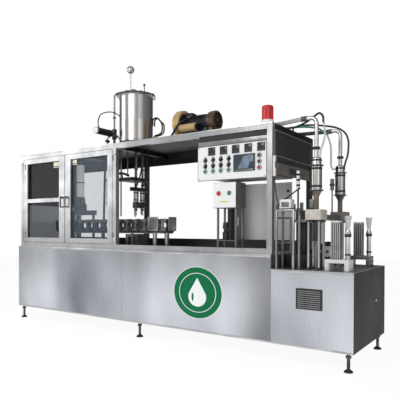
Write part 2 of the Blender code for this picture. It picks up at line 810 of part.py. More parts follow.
def make_tank(polished, black):
    """Round product tank with its lid, level float, inlet pipe and inlet valve."""
    floor = ROOF_TOP + GAP
    inner = TANK_RADIUS - TANK_WALL
    vessel = (
        (0, floor),
        (TANK_RADIUS * 0.94, floor),
        (TANK_RADIUS * 0.94, floor + TANK_SKIRT),
        (TANK_RADIUS, floor + TANK_SKIRT),
        (TANK_RADIUS, TANK_TOP),
        (inner, TANK_TOP),
        (inner, floor + TANK_FLOOR),
        (0, floor + TANK_FLOOR),
    )
    piece("tank", turned(vessel, (TANK_X, TANK_Y, 0), sides=TANK_SIDES), polished)

    seat = TANK_TOP + GAP
    rod_hole = FLOAT_ROD_RADIUS + 2 * GAP
    lid = (
        (0, seat),
        (LID_RADIUS, seat),
        (LID_RADIUS, seat + LID_HEIGHT),
        (TANK_RADIUS, seat + LID_HEIGHT),
        (0, seat + LID_HEIGHT + LID_DOME),
    )
    lid_solid = turned(lid, (TANK_X, TANK_Y, 0), sides=TANK_SIDES)
    rod_x = TANK_X + ROD_OFFSET_X
    rod_y = TANK_Y + ROD_OFFSET_Y
    bore = rod((rod_x, rod_y, TANK_TOP - LID_HEIGHT), (rod_x, rod_y, TANK_TOP + TANK_SKIRT * 2), rod_hole)
    lid_solid = cut(lid_solid, bore)
    vent_x = TANK_X + VENT_ROD_OFFSET_X
    top = seat + LID_HEIGHT
    vent = turned(
        (
            (0, seat + LID_HEIGHT / 2),
            (VENT_ROD_RADIUS, seat + LID_HEIGHT / 2),
            (VENT_ROD_RADIUS, VENT_ROD_TOP - VENT_KNOB_RADIUS * 2),
            (VENT_KNOB_RADIUS, VENT_ROD_TOP - VENT_KNOB_RADIUS),
            (0, VENT_ROD_TOP),
        ),
        (vent_x, TANK_Y, 0),
        sides=SMALL_SIDES,
    )
    crest = top + INLET_RISE
    route = [(TANK_X, TANK_Y, seat + LID_HEIGHT / 2)]
    route += bend((TANK_X, TANK_Y, crest), (0, 0, 1), (-1, 0, 0), INLET_BEND)
    route += bend((INLET_X, TANK_Y, crest), (-1, 0, 0), (0, 0, -1), INLET_BEND)
    route.append((INLET_X, TANK_Y, ACTUATOR_Z + VALVE_HEIGHT / 2 + GAP))
    pipe = swept(route, INLET_PIPE_RADIUS)
    piece("tank_lid", joined(lid_solid, vent, pipe), polished)

    float_low = floor + TANK_FLOOR + FLOAT_TRAVEL + GAP
    level_float = (
        (0, float_low),
        (FLOAT_RADIUS, float_low + FLOAT_LENGTH / 4),
        (FLOAT_RADIUS, float_low + FLOAT_LENGTH * 3 / 4),
        (FLOAT_ROD_RADIUS, float_low + FLOAT_LENGTH),
    )
    ball = []
    for i in range(1, 8):
        angle = math.pi * i / 8
        ball.append((FLOAT_BALL_RADIUS * math.sin(angle), FLOAT_BALL_Z - FLOAT_BALL_RADIUS * math.cos(angle)))
    neck = (FLOAT_ROD_RADIUS, FLOAT_BALL_Z - FLOAT_BALL_RADIUS * 0.97)
    outline = (*level_float, neck, *ball, (0, FLOAT_BALL_Z + FLOAT_BALL_RADIUS))
    piece("float_rod", turned(outline, (rod_x, rod_y, 0), sides=BUTTON_SIDES), polished, (rod_x, rod_y, top))

    body = turned(
        (
            (0, floor),
            (VALVE_RADIUS * 1.5, floor),
            (VALVE_RADIUS * 1.5, floor + GAP * 30),
            (INLET_PIPE_RADIUS * 1.4, floor + GAP * 30),
            (INLET_PIPE_RADIUS * 1.4, ACTUATOR_Z - VALVE_HEIGHT / 2),
            (VALVE_RADIUS, ACTUATOR_Z - VALVE_HEIGHT / 2),
            (VALVE_RADIUS, ACTUATOR_Z + VALVE_HEIGHT / 2),
            (0, ACTUATOR_Z + VALVE_HEIGHT / 2),
        ),
        (INLET_X, TANK_Y, 0),
        sides=BUTTON_SIDES,
    )
    back = -(ACTUATOR_FRONT_Y + ACTUATOR_LENGTH)
    front = -ACTUATOR_FRONT_Y
    actuator = turned(
        (
            (0, -TANK_Y),
            (VALVE_RADIUS * 0.6, -TANK_Y),
            (VALVE_RADIUS * 0.6, back),
            (ACTUATOR_RADIUS * 1.1, back),
            (ACTUATOR_RADIUS * 1.1, back + VALVE_RADIUS / 2),
            (ACTUATOR_RADIUS, back + VALVE_RADIUS / 2),
            (ACTUATOR_RADIUS, front - VALVE_RADIUS),
            (ACTUATOR_RADIUS * 1.08, front - VALVE_RADIUS),
            (ACTUATOR_RADIUS * 1.08, front - VALVE_RADIUS / 2),
            (ACTUATOR_RADIUS * 0.5, front),
            (0, front),
        ),
        (INLET_X, 0, ACTUATOR_Z),
        axis="-Y",
        sides=BUTTON_SIDES,
    )
    piece("inlet_valve", joined(body, actuator), black)


def make_blower(gold):
    """Twin side-channel blower: a housing at each end of a finned motor, on a ducted foot."""
    left = BLOWER_X - BLOWER_LENGTH / 2
    right = BLOWER_X + BLOWER_LENGTH / 2
    lip = BLOWER_WIDTH * 0.25
    profile = [
        (0, left),
        (BLOWER_RADIUS * 0.55, left),
        (BLOWER_RADIUS * 0.60, left + lip / 2),
        (BLOWER_RADIUS * 0.80, left),
        (BLOWER_RADIUS, left + lip),
        (BLOWER_RADIUS, left + BLOWER_WIDTH - lip),
        (BLOWER_RADIUS * 0.80, left + BLOWER_WIDTH),
        (MOTOR_RADIUS, left + BLOWER_WIDTH),
    ]
    motor_left = left + BLOWER_WIDTH
    motor_right = right - BLOWER_WIDTH
    pitch = (motor_right - motor_left) / (2 * MOTOR_FINS + 1)
    for i in range(MOTOR_FINS):
        start = motor_left + pitch * (2 * i + 1)
        profile += [
            (MOTOR_RADIUS, start),
            (MOTOR_RADIUS - MOTOR_FIN_DEPTH, start),
            (MOTOR_RADIUS - MOTOR_FIN_DEPTH, start + pitch),
            (MOTOR_RADIUS, start + pitch),
        ]
    profile += [
        (MOTOR_RADIUS, motor_right),
        (BLOWER_SMALL_RADIUS * 0.85, motor_right),
        (BLOWER_SMALL_RADIUS, motor_right + lip),
        (BLOWER_SMALL_RADIUS, right - lip),
        (BLOWER_SMALL_RADIUS * 0.85, right),
        (BLOWER_SMALL_RADIUS * 0.60, right - lip / 2),
        (BLOWER_SMALL_RADIUS * 0.55, right),
        (0, right),
    ]
    housings = turned(profile, (0, BLOWER_Y, BLOWER_Z), axis="X")
    floor = ROOF_TOP + GAP
    duct = block(
        (left + lip, BLOWER_Y - DUCT_DEPTH / 2, floor),
        (left + BLOWER_WIDTH - lip / 2, BLOWER_Y + DUCT_DEPTH / 2, floor + DUCT_HEIGHT),
    )
    saddle = block(
        (right - BLOWER_WIDTH + lip, BLOWER_Y - DUCT_DEPTH / 3, floor),
        (right - lip, BLOWER_Y + DUCT_DEPTH / 3, BLOWER_Z - BLOWER_SMALL_RADIUS * 0.7),
    )
    cradle = block(
        (motor_left + lip, BLOWER_Y - MOTOR_RADIUS / 2, floor),
        (motor_right - lip, BLOWER_Y + MOTOR_RADIUS / 2, BLOWER_Z - MOTOR_RADIUS / 2),
    )
    box_top = BLOWER_Z + MOTOR_RADIUS * 1.35
    terminal = block(
        (motor_left + lip, BLOWER_Y - MOTOR_RADIUS / 2, BLOWER_Z),
        (motor_left + lip + MOTOR_RADIUS, BLOWER_Y + MOTOR_RADIUS / 2, box_top),
    )
    piece("blower", joined(housings, duct, saddle, cradle, terminal), gold)


def make_beacon(red):
    """Warning beacon: base ring and fluted lens."""
    floor = ROOF_TOP + GAP
    lens = floor + BEACON_BASE_HEIGHT
    outline = (
        (0, floor),
        (BEACON_BASE_RADIUS, floor),
        (BEACON_BASE_RADIUS, lens),
        (BEACON_RADIUS, lens),
        (BEACON_RADIUS, lens + BEACON_LENS_HEIGHT * 0.88),
        (BEACON_RADIUS * 0.88, lens + BEACON_LENS_HEIGHT),
        (0, lens + BEACON_LENS_HEIGHT),
    )
    piece("beacon", turned(outline, (BEACON_X, BEACON_Y, 0)), red)


def make_cabinet(pale, white):
    """Control cabinet under the roof, with its switch gear, and the door that carries the controls."""
    front = FRAME_FRONT + CONTROL_DOOR_THICKNESS + GAP
    back = front + CABINET_DEPTH
    top = RAIL_BOTTOM - GAP
    wall = CABINET_WALL
    boxes = [
        ((CABINET_LEFT, front, CABINET_BOTTOM), (CABINET_LEFT + wall, back, top)),
        ((CABINET_RIGHT - wall, front, CABINET_BOTTOM), (CABINET_RIGHT, back, top)),
        ((CABINET_LEFT, front, CABINET_BOTTOM), (CABINET_RIGHT, back, CABINET_BOTTOM + wall)),
        ((CABINET_LEFT, front, top - wall), (CABINET_RIGHT, back, top)),
        ((CABINET_LEFT, back - wall, CABINET_BOTTOM), (CABINET_RIGHT, back, top)),
        ((CABINET_LEFT, front, CONTROL_DOOR_TOP), (CABINET_RIGHT, front + wall, top)),
    ]
    middle = (CABINET_LEFT + CABINET_RIGHT) / 2
    gear = []
    for row in range(GEAR_ROWS):
        z = CABINET_BOTTOM + GEAR_PITCH * (row + 0.5)
        for i in range(GEAR_BLOCKS):
            x = middle + GEAR_PITCH * (i - (GEAR_BLOCKS - 1) / 2)
            low = (x - GEAR_BLOCK / 2, back - wall - GEAR_DEPTH, z)
            gear.append(block(low, (x + GEAR_BLOCK / 2, back - wall / 2, z + GEAR_BLOCK)))
    piece("control_cabinet", joined(welded(boxes), *gear), pale)

    left = CONTROL_DOOR_LEFT
    right = STEP_X - POST - DOOR_CLEARANCE
    skin = FRAME_FRONT + SHEET
    rear = FRAME_FRONT + CONTROL_DOOR_THICKNESS
    plate = [
        ((left, FRAME_FRONT, CONTROL_DOOR_BOTTOM), (right, skin, CONTROL_DOOR_TOP)),
        ((left, FRAME_FRONT, CONTROL_DOOR_BOTTOM), (left + SHEET, rear, CONTROL_DOOR_TOP)),
        ((right - SHEET, FRAME_FRONT, CONTROL_DOOR_BOTTOM), (right, rear, CONTROL_DOOR_TOP)),
        ((left, FRAME_FRONT, CONTROL_DOOR_BOTTOM), (right, rear, CONTROL_DOOR_BOTTOM + SHEET)),
        ((left, FRAME_FRONT, CONTROL_DOOR_TOP - SHEET), (right, rear, CONTROL_DOOR_TOP)),
    ]
    fitted = []
    for x in METER_XS:
        low = (x - METER / 2, FRAME_FRONT - METER_PROUD, METER_Z - METER / 2)
        fitted.append(block(low, (x + METER / 2, rear, METER_Z + METER / 2)))
    low = (SCREEN_X - SCREEN_LENGTH / 2, FRAME_FRONT - SCREEN_PROUD, SCREEN_Z - SCREEN_HEIGHT / 2)
    fitted.append(block(low, (SCREEN_X + SCREEN_LENGTH / 2, rear, SCREEN_Z + SCREEN_HEIGHT / 2)))
    for x, z in start_places() + column_places():
        fitted.append(collar(x, z, FRAME_FRONT))
    pivot = (left, FRAME_FRONT, CONTROL_DOOR_BOTTOM)
    piece("control_door", joined(welded(plate), *fitted), white, pivot)


def start_places():
    return [(x, START_Z) for x in BUTTON_XS]


def column_places():
    return [(COLUMN_X, z) for z in COLUMN_ZS]


def collar(x, z, face, radius=BUTTON_RADIUS):
    """Ring that guides a push button, standing on a face and sunk a little into it."""
    bore = radius + BUTTON_CLEARANCE
    outer = bore + COLLAR_RADIUS - BUTTON_RADIUS
    outline = ((bore, -SHEET / 2), (outer, -SHEET / 2), (outer, COLLAR_HEIGHT), (bore, COLLAR_HEIGHT))
    return turned(outline, (x, face, z), axis="-Y", sides=BUTTON_SIDES, closed=True)


def push_button(name, x, z, face, material, radius=BUTTON_RADIUS, head=None):
    """Round push button that slides in its collar. A head wider than the stem stands in front."""
    start = BUTTON_TRAVEL + GAP
    end = start + BUTTON_LENGTH
    outline = [(0, start), (radius, start), (radius, end), (0, end + GAP)]
    if head:
        clear = COLLAR_HEIGHT + BUTTON_TRAVEL + GAP
        outline = [(0, start), (radius, start), (radius, clear), (head, clear + GAP)]
        outline += [(head, clear + BUTTON_LENGTH / 2), (head * 0.6, clear + BUTTON_LENGTH), (0, clear + BUTTON_LENGTH)]
    solid = turned(outline, (x, face, z), axis="-Y", sides=BUTTON_SIDES)
    return piece(name, solid, material, (x, face, z))


def make_controls(black, green, red):
    """Selectors and push buttons of the control door."""
    number = 0
    for z in SELECTOR_ZS:
        for x in BUTTON_XS:
            number += 1
            knob = turned(
                (
                    (0, GAP),
                    (SELECTOR_RADIUS, GAP),
                    (SELECTOR_RADIUS, SELECTOR_HEIGHT * 0.8),
                    (SELECTOR_RADIUS * 0.85, SELECTOR_HEIGHT),
                    (0, SELECTOR_HEIGHT),
                ),
                (x, FRAME_FRONT, z),
                axis="-Y",
                sides=BUTTON_SIDES,
            )
            grip_low = FRAME_FRONT - SELECTOR_HEIGHT - SELECTOR_GRIP_HEIGHT
            grip = block(
                (x - SELECTOR_GRIP_WIDTH / 2, grip_low, z - SELECTOR_RADIUS * 0.8),
                (x + SELECTOR_GRIP_WIDTH / 2, FRAME_FRONT - SELECTOR_HEIGHT / 2, z + SELECTOR_RADIUS * 0.8),
            )
            piece(f"selector_{number}", joined(knob, grip), black, (x, FRAME_FRONT, z))
    for i, (x, z) in enumerate(start_places()):
        push_button(f"start_button_{i + 1}", x, z, FRAME_FRONT, green)
    names = ("black_button_upper", "black_button_lower", "stop_button")
    for name, material, (x, z) in zip(names, (black, black, red), column_places()):
        push_button(name, x, z, FRAME_FRONT, material)


def make_button_box(pale, red, green):
    """Small operator box on four legs, with a mushroom button and a start button."""
    back = BOX_FRONT_Y + BOX_DEPTH
    boxes = [((BOX_LEFT, BOX_FRONT_Y, BOX_BOTTOM), (BOX_RIGHT, back, BOX_TOP))]
    floor = BASE_TOP + GAP
    front_leg = FRAME_FRONT + POST + GAP
    legs_y = (front_leg, back - BOX_LEG)
    for x in (BOX_LEFT + BOX_LEG_INSET, BOX_RIGHT - BOX_LEG_INSET - BOX_LEG):
        for y in legs_y:
            boxes.append(((x, y, floor), (x + BOX_LEG, y + BOX_LEG, BOX_BOTTOM + BOX_LEG)))
        boxes.append(((x, legs_y[0], SHELF_Z), (x + BOX_LEG, legs_y[1] + BOX_LEG, SHELF_Z + BOX_LEG)))
    boxes.append(
        (
            (BOX_LEFT + BOX_LEG_INSET, legs_y[0], SHELF_Z),
            (BOX_RIGHT - BOX_LEG_INSET, legs_y[1] + BOX_LEG, SHELF_Z + SHELF_THICKNESS),
        )
    )
    regulator_x = BOX_LEFT + BOX_LEG_INSET + BOX_LEG + REGULATOR_RADIUS * 1.6
    regulator_y = (legs_y[0] + legs_y[1]) / 2
    bottom = SHELF_Z + SHELF_THICKNESS / 2
    regulator = turned(
        (
            (0, bottom),
            (REGULATOR_RADIUS, bottom),
            (REGULATOR_RADIUS, bottom + REGULATOR_HEIGHT * 0.45),
            (REGULATOR_RADIUS * 0.6, bottom + REGULATOR_HEIGHT * 0.5),
            (REGULATOR_RADIUS * 0.6, bottom + REGULATOR_HEIGHT * 0.6),
            (REGULATOR_RADIUS, bottom + REGULATOR_HEIGHT * 0.65),
            (REGULATOR_RADIUS * 0.8, bottom + REGULATOR_HEIGHT),
            (0, bottom + REGULATOR_HEIGHT),
        ),
        (regulator_x, regulator_y, 0),
        sides=BUTTON_SIDES,
    )
    collars = [collar(x, BOX_BUTTON_Z, BOX_FRONT_Y) for x in (MUSHROOM_X, BOX_START_X)]
    piece("button_box", joined(welded(boxes), regulator, *collars), pale)
    push_button("emergency_stop", MUSHROOM_X, BOX_BUTTON_Z, BOX_FRONT_Y, red, head=MUSHROOM_RADIUS)
    push_button("box_start_button", BOX_START_X, BOX_BUTTON_Z, BOX_FRONT_Y, green)


def make_filler(steel, dark):
    """Product pipes and bridge under the tank, and the two filling heads that dip into the cartons."""
    top = ROOF_UNDER - GAP
    manifold_low = FILL_BODY_TOP + FILL_FLANGE + GAP
    solids = []
    beam_low = BRIDGE_BEAM_Z - BRIDGE_BEAM / 2
    boxes = [
        (
            (BRIDGE_HANGER_X - BRIDGE_BEAM / 2, -BRIDGE_REACH, beam_low),
            (FILL_X + BRIDGE_BEAM / 2, BRIDGE_REACH, beam_low + BRIDGE_BEAM),
        ),
        (
            (FILL_X - BRIDGE_BEAM / 2, -BRIDGE_REACH, manifold_low),
            (FILL_X + BRIDGE_BEAM / 2, BRIDGE_REACH, manifold_low + MANIFOLD_HEIGHT),
        ),
    ]
    for y in (-LANE_HALF, LANE_HALF):
        solids.append(rod((FILL_X, y, manifold_low + MANIFOLD_HEIGHT / 2), (FILL_X, y, top), PRODUCT_PIPE_RADIUS))
    for y in (-BRIDGE_REACH + BRIDGE_BEAM / 2, BRIDGE_REACH - BRIDGE_BEAM / 2):
        solids.append(rod((BRIDGE_HANGER_X, y, BRIDGE_HANGER_BOTTOM), (BRIDGE_HANGER_X, y, top), HANGER_RADIUS))
    piece("filler_bridge", joined(welded(boxes), *solids), steel)
    outline = (
        (0, NOZZLE_BOTTOM),
        (NOZZLE_RADIUS * 0.8, NOZZLE_BOTTOM),
        (NOZZLE_RADIUS, NOZZLE_BOTTOM + NOZZLE_RADIUS),
        (NOZZLE_RADIUS, FILL_BODY_BOTTOM - FILL_FLANGE * 3),
        (FILL_BODY_RADIUS, FILL_BODY_BOTTOM - FILL_FLANGE),
        (FILL_FLANGE_RADIUS, FILL_BODY_BOTTOM - FILL_FLANGE),
        (FILL_FLANGE_RADIUS, FILL_BODY_BOTTOM),
        (FILL_BODY_RADIUS, FILL_BODY_BOTTOM),
        (FILL_BODY_RADIUS, FILL_BODY_TOP),
        (FILL_FLANGE_RADIUS, FILL_BODY_TOP),
        (FILL_FLANGE_RADIUS, FILL_BODY_TOP + FILL_FLANGE),
        (0, FILL_BODY_TOP + FILL_FLANGE),
    )
    for name, y in (("filling_head_front", -LANE_HALF), ("filling_head_rear", LANE_HALF)):
        pivot = (FILL_X, y, FILL_BODY_TOP)
        piece(name, turned(outline, (FILL_X, y, 0), sides=BUTTON_SIDES), dark, pivot)


def track_outline(radius, steps=8):
    """Plan of the carton track: two straights and two half circles."""
    points = []
    for centre, start in ((TRACK_RIGHT_X, -math.pi / 2), (TRACK_LEFT_X, math.pi / 2)):
        for i in range(steps + 1):
            angle = start + math.pi * i / steps
            points.append((centre + radius * math.cos(angle), radius * math.sin(angle)))
    return points


def carrier_places():
    """Place and heading of each carton carrier round the track."""
    places = []
    straight = TRACK_RIGHT_X - TRACK_LEFT_X
    for i in range(CARRIER_STRAIGHT):
        x = TRACK_LEFT_X + straight * i / (CARRIER_STRAIGHT - 1)
        places.append((x, -TRACK_RADIUS, -math.pi / 2))
        places.append((x, TRACK_RADIUS, math.pi / 2))
    for centre, start in ((TRACK_RIGHT_X, -math.pi / 2), (TRACK_LEFT_X, math.pi / 2)):
        for i in range(1, CARRIER_ARC + 1):
            angle = start + math.pi * i / (CARRIER_ARC + 1)
            places.append((centre + TRACK_RADIUS * math.cos(angle), TRACK_RADIUS * math.sin(angle), angle))
    return places


def carrier(x, y, heading):
    """Waisted carton carrier that stands on the chain, with its flanks facing away from the track."""
    half = CARRIER_WIDTH / 2
    waist = CARRIER_WAIST / 2
    bottom = TRACK_BOTTOM + TRACK_RAIL_HEIGHT / 2
    top = bottom + CARRIER_HEIGHT
    third = CARRIER_HEIGHT / 3
    outline = (
        (-half, bottom),
        (half, bottom),
        (half, bottom + third * 0.8),
        (waist, bottom + third * 1.1),
        (waist, top - third * 1.1),
        (half, top - third * 0.8),
        (half, top),
        (-half, top),
        (-half, top - third * 0.8),
        (-waist, top - third * 1.1),
        (-waist, bottom + third * 1.1),
        (-half, bottom + third * 0.8),
    )
    solid = extruded(outline, -CARRIER_THICKNESS / 2, CARRIER_THICKNESS / 2)
    turn = Matrix.Rotation(heading - math.pi / 2, 4, "Z")
    bmesh.ops.transform(solid, matrix=Matrix.Translation((x, y, 0)) @ turn, verts=solid.verts)
    return solid


def make_conveyor(dark, steel):
    """Carton chain with its carriers, the bed and posts under it, and the heater above the left bay."""
    high = TRACK_BOTTOM + TRACK_RAIL_HEIGHT
    outer = extruded(track_outline(TRACK_RADIUS + TRACK_RAIL_WIDTH / 2), TRACK_BOTTOM, high, "XY")
    inner = extruded(track_outline(TRACK_RADIUS - TRACK_RAIL_WIDTH / 2), TRACK_BOTTOM - GAP, high + GAP, "XY")
    chain = cut(outer, inner)
    carriers = [carrier(*place) for place in carrier_places()]
    piece("carrier_chain", joined(chain, *carriers), dark)

    bed_top = TRACK_BOTTOM - GAP
    bed = extruded(track_outline(TRACK_RADIUS + TRACK_RAIL_WIDTH / 3), bed_top - TRACK_PLATE, bed_top, "XY")
    solids = [bed]
    floor = BASE_TOP + GAP
    for x in TRACK_POST_XS:
        for y in (-TRACK_RADIUS, TRACK_RADIUS):
            solids.append(rod((x, y, floor), (x, y, bed_top - TRACK_PLATE / 2), TRACK_POST_RADIUS))
    mast_radius = HEATER_RADIUS * 0.45
    heater = turned(
        (
            (0, bed_top - TRACK_PLATE / 2),
            (mast_radius, bed_top - TRACK_PLATE / 2),
            (mast_radius, HEATER_BOTTOM - HEATER_RADIUS),
            (HEATER_RADIUS * 1.3, HEATER_BOTTOM),
            (HEATER_RADIUS, HEATER_BOTTOM),
            (HEATER_RADIUS, HEATER_TOP),
            (HEATER_RADIUS * 1.25, HEATER_TOP),
            (HEATER_RADIUS * 1.25, HEATER_TOP + TRACK_PLATE),
            (mast_radius, HEATER_TOP + HEATER_RADIUS),
            (mast_radius, ROOF_UNDER - GAP),
            (0, ROOF_UNDER - GAP),
        ),
        (HEATER_X, 0, 0),
        sides=BUTTON_SIDES,
    )
    piece("conveyor_bed", joined(*solids, heater), steel)


def make_heating_end(steel, beige, dark, black):
    """Heater columns over the pressing blocks, the ribbed columns with their cups, and the drive disc."""
    for name, y in (("heater_column_front", -LANE_Y), ("heater_column_rear", LANE_Y)):
        bottom = PRESS_BLOCK_TOP + GAP
        outline = (
            (0, bottom),
            (CONE_RADIUS, bottom),
            (CONE_RADIUS, CONE_BOTTOM),
            (COLUMN_RADIUS, COLUMN_FLANGE_BOTTOM - COLUMN_FLANGE),
            (COLUMN_FLANGE_RADIUS, COLUMN_FLANGE_BOTTOM - COLUMN_FLANGE),
            (COLUMN_FLANGE_RADIUS, COLUMN_FLANGE_BOTTOM),
            (COLUMN_RADIUS, COLUMN_FLANGE_BOTTOM),
            (COLUMN_RADIUS, COLUMN_FLANGE_TOP),
            (COLUMN_FLANGE_RADIUS, COLUMN_FLANGE_TOP),
            (COLUMN_FLANGE_RADIUS, COLUMN_FLANGE_TOP + COLUMN_FLANGE),
            (COLUMN_RADIUS * 0.9, COLUMN_FLANGE_TOP + COLUMN_FLANGE),
            (COLUMN_RADIUS * 0.9, COLLAR_TOP - COLUMN_FLANGE),
            (COLUMN_RADIUS * 0.7, COLLAR_TOP),
            (COLUMN_PIPE_RADIUS, COLLAR_TOP),
            (COLUMN_PIPE_RADIUS, COLUMN_CLAMP_Z - COLUMN_FLANGE),
            (COLUMN_CLAMP_RADIUS, COLUMN_CLAMP_Z - COLUMN_FLANGE / 2),
            (COLUMN_CLAMP_RADIUS, COLUMN_CLAMP_Z + COLUMN_FLANGE / 2),
            (COLUMN_PIPE_RADIUS, COLUMN_CLAMP_Z + COLUMN_FLANGE),
            (COLUMN_PIPE_RADIUS, COLUMN_CLAMP_Z + PIPE_BEND),
            (0, COLUMN_CLAMP_Z + PIPE_BEND),
        )
        body = turned(outline, (COLUMN_CENTRE_X, y, 0))
        route = [(COLUMN_CENTRE_X, y, COLUMN_CLAMP_Z)]
        route += bend((COLUMN_CENTRE_X, y, PIPE_TOP_Z), (0, 0, 1), (-1, 0, 0), PIPE_BEND)
        route.append((COLUMN_CENTRE_X - PIPE_REACH, y, PIPE_TOP_Z))
        pipe = swept(route, COLUMN_PIPE_RADIUS * 0.97)
        piece(name, joined(body, pipe), steel)

    solids = []
    boxes = []
    floor = LOW_TOP + GAP
    for y in (-LANE_Y, LANE_Y):
        low = (COLUMN_CENTRE_X - PRESS_BLOCK_X / 2, y - PRESS_BLOCK_Y / 2, PRESS_BLOCK_BOTTOM)
        high = (COLUMN_CENTRE_X + PRESS_BLOCK_X / 2, y + PRESS_BLOCK_Y / 2, PRESS_BLOCK_TOP)
        boxes.append((low, high))
        for dx in (-1, 1):
            for dy in (-1, 1):
                x = COLUMN_CENTRE_X + dx * (PRESS_BLOCK_X / 2 - 2 * PRESS_ROD_RADIUS)
                rod_y = y + dy * (PRESS_BLOCK_Y / 2 - 2 * PRESS_ROD_RADIUS)
                solids.append(rod((x, rod_y, floor), (x, rod_y, PRESS_BLOCK_BOTTOM + PRESS_TIE / 2), PRESS_ROD_RADIUS))
    boxes.append(
        (
            (COLUMN_CENTRE_X - PRESS_TIE / 2, -LANE_Y, PRESS_BLOCK_BOTTOM),
            (COLUMN_CENTRE_X + PRESS_TIE / 2, LANE_Y, PRESS_BLOCK_BOTTOM + PRESS_TIE),
        )
    )
    piece("press_blocks", joined(welded(boxes), *solids), beige)

    for name, y in (("ribbed_column_front", -LANE_Y), ("ribbed_column_rear", LANE_Y)):
        piece(name, ribbed_column(y), dark)

    back = DISC_Y + DISC_THICKNESS
    disc = turned(
        (
            (0, -back),
            (DISC_RADIUS, -back),
            (DISC_RADIUS, -DISC_Y),
            (HUB_RADIUS, -DISC_Y),
            (HUB_RADIUS, -DISC_Y + HUB_PROUD * 0.8),
            (HUB_RADIUS * 0.9, -DISC_Y + HUB_PROUD),
            (0, -DISC_Y + HUB_PROUD),
        ),
        (DISC_X, 0, DISC_Z),
        axis="-Y",
        sides=SIDES,
    )
    holes = []
    for i in range(DISC_HOLES):
        angle = math.tau * i / DISC_HOLES
        x = DISC_X + DISC_HOLE_CIRCLE * math.cos(angle)
        z = DISC_Z + DISC_HOLE_CIRCLE * math.sin(angle)
        holes.append(rod((x, DISC_Y - DISC_THICKNESS, z), (x, back + DISC_THICKNESS, z), DISC_HOLE_RADIUS))
    shaft_end = -DISC_Y - GAP
    shaft_start = (DISC_X, DISC_Y + DISC_THICKNESS / 2, DISC_Z)
    shaft = rod(shaft_start, (DISC_X, shaft_end, DISC_Z), DISC_SHAFT_RADIUS, SIDES)
    piece("drive_disc", joined(cut(disc, *holes), shaft), black, (DISC_X, DISC_Y, DISC_Z))


def ribbed_column(y):
    """Grooved square column with its cap and bracket, and the stand pipe with the measuring cup."""
    half = RIBBED_WIDTH / 2
    pitch = RIBBED_WIDTH / (2 * RIBS + 1)
    outline = []
    corners = ((-1, -1, 1, 0), (1, -1, 0, 1), (1, 1, -1, 0), (-1, 1, 0, -1))
    for corner_x, corner_y, along_x, along_y in corners:
        start = (corner_x * half, corner_y * half)
        outline.append(start)
        inward = (-along_y * RIB_DEPTH, along_x * RIB_DEPTH)
        for i in range(RIBS):
            for at, depth in ((2 * i + 1, 0), (2 * i + 1, 1), (2 * i + 2, 1), (2 * i + 2, 0)):
                outline.append(
                    (
                        start[0] + along_x * pitch * at + inward[0] * depth,
                        start[1] + along_y * pitch * at + inward[1] * depth,
                    )
                )
    placed = [(RIBBED_X + a, y + b) for a, b in outline]
    column = extruded(placed, RIBBED_BOTTOM - GAP, RIBBED_TOP - CAP_HEIGHT / 2, "XY")
    floor = LOW_TOP + GAP
    plate_low = RIBBED_BOTTOM - BRACKET_PLATE
    reach = CUP_X + STANDPIPE_RADIUS * 2
    left = RIBBED_X - BRACKET_X / 2
    near, far = y - BRACKET_Y / 2, y + BRACKET_Y / 2
    boxes = [
        ((RIBBED_X - half, y - half, RIBBED_TOP - CAP_HEIGHT), (RIBBED_X + half, y + half, RIBBED_TOP)),
        ((left, near, plate_low), (reach, far, RIBBED_BOTTOM)),
        ((left, near, floor), (left + BRACKET_FOOT, far, plate_low)),
        ((reach - BRACKET_FOOT, near, floor), (reach, far, plate_low)),
    ]
    outline = (
        (0, RIBBED_BOTTOM - BRACKET_PLATE / 2),
        (STANDPIPE_RADIUS, RIBBED_BOTTOM - BRACKET_PLATE / 2),
        (STANDPIPE_RADIUS, CUP_VALVE_BOTTOM),
        (CUP_VALVE_RADIUS, CUP_VALVE_BOTTOM),
        (CUP_VALVE_RADIUS, CUP_VALVE_BOTTOM + STANDPIPE_RADIUS),
        (CUP_BOTTOM_RADIUS, CUP_BOTTOM),
        (CUP_TOP_RADIUS, CUP_TOP),
        (CUP_TOP_RADIUS - CUP_WALL, CUP_TOP),
        (CUP_BOTTOM_RADIUS - CUP_WALL, CUP_BOTTOM + CUP_FLOOR),
        (0, CUP_BOTTOM + CUP_FLOOR),
    )
    cup = turned(outline, (CUP_X, y, 0), sides=BUTTON_SIDES)
    return joined(welded(boxes), column, cup)


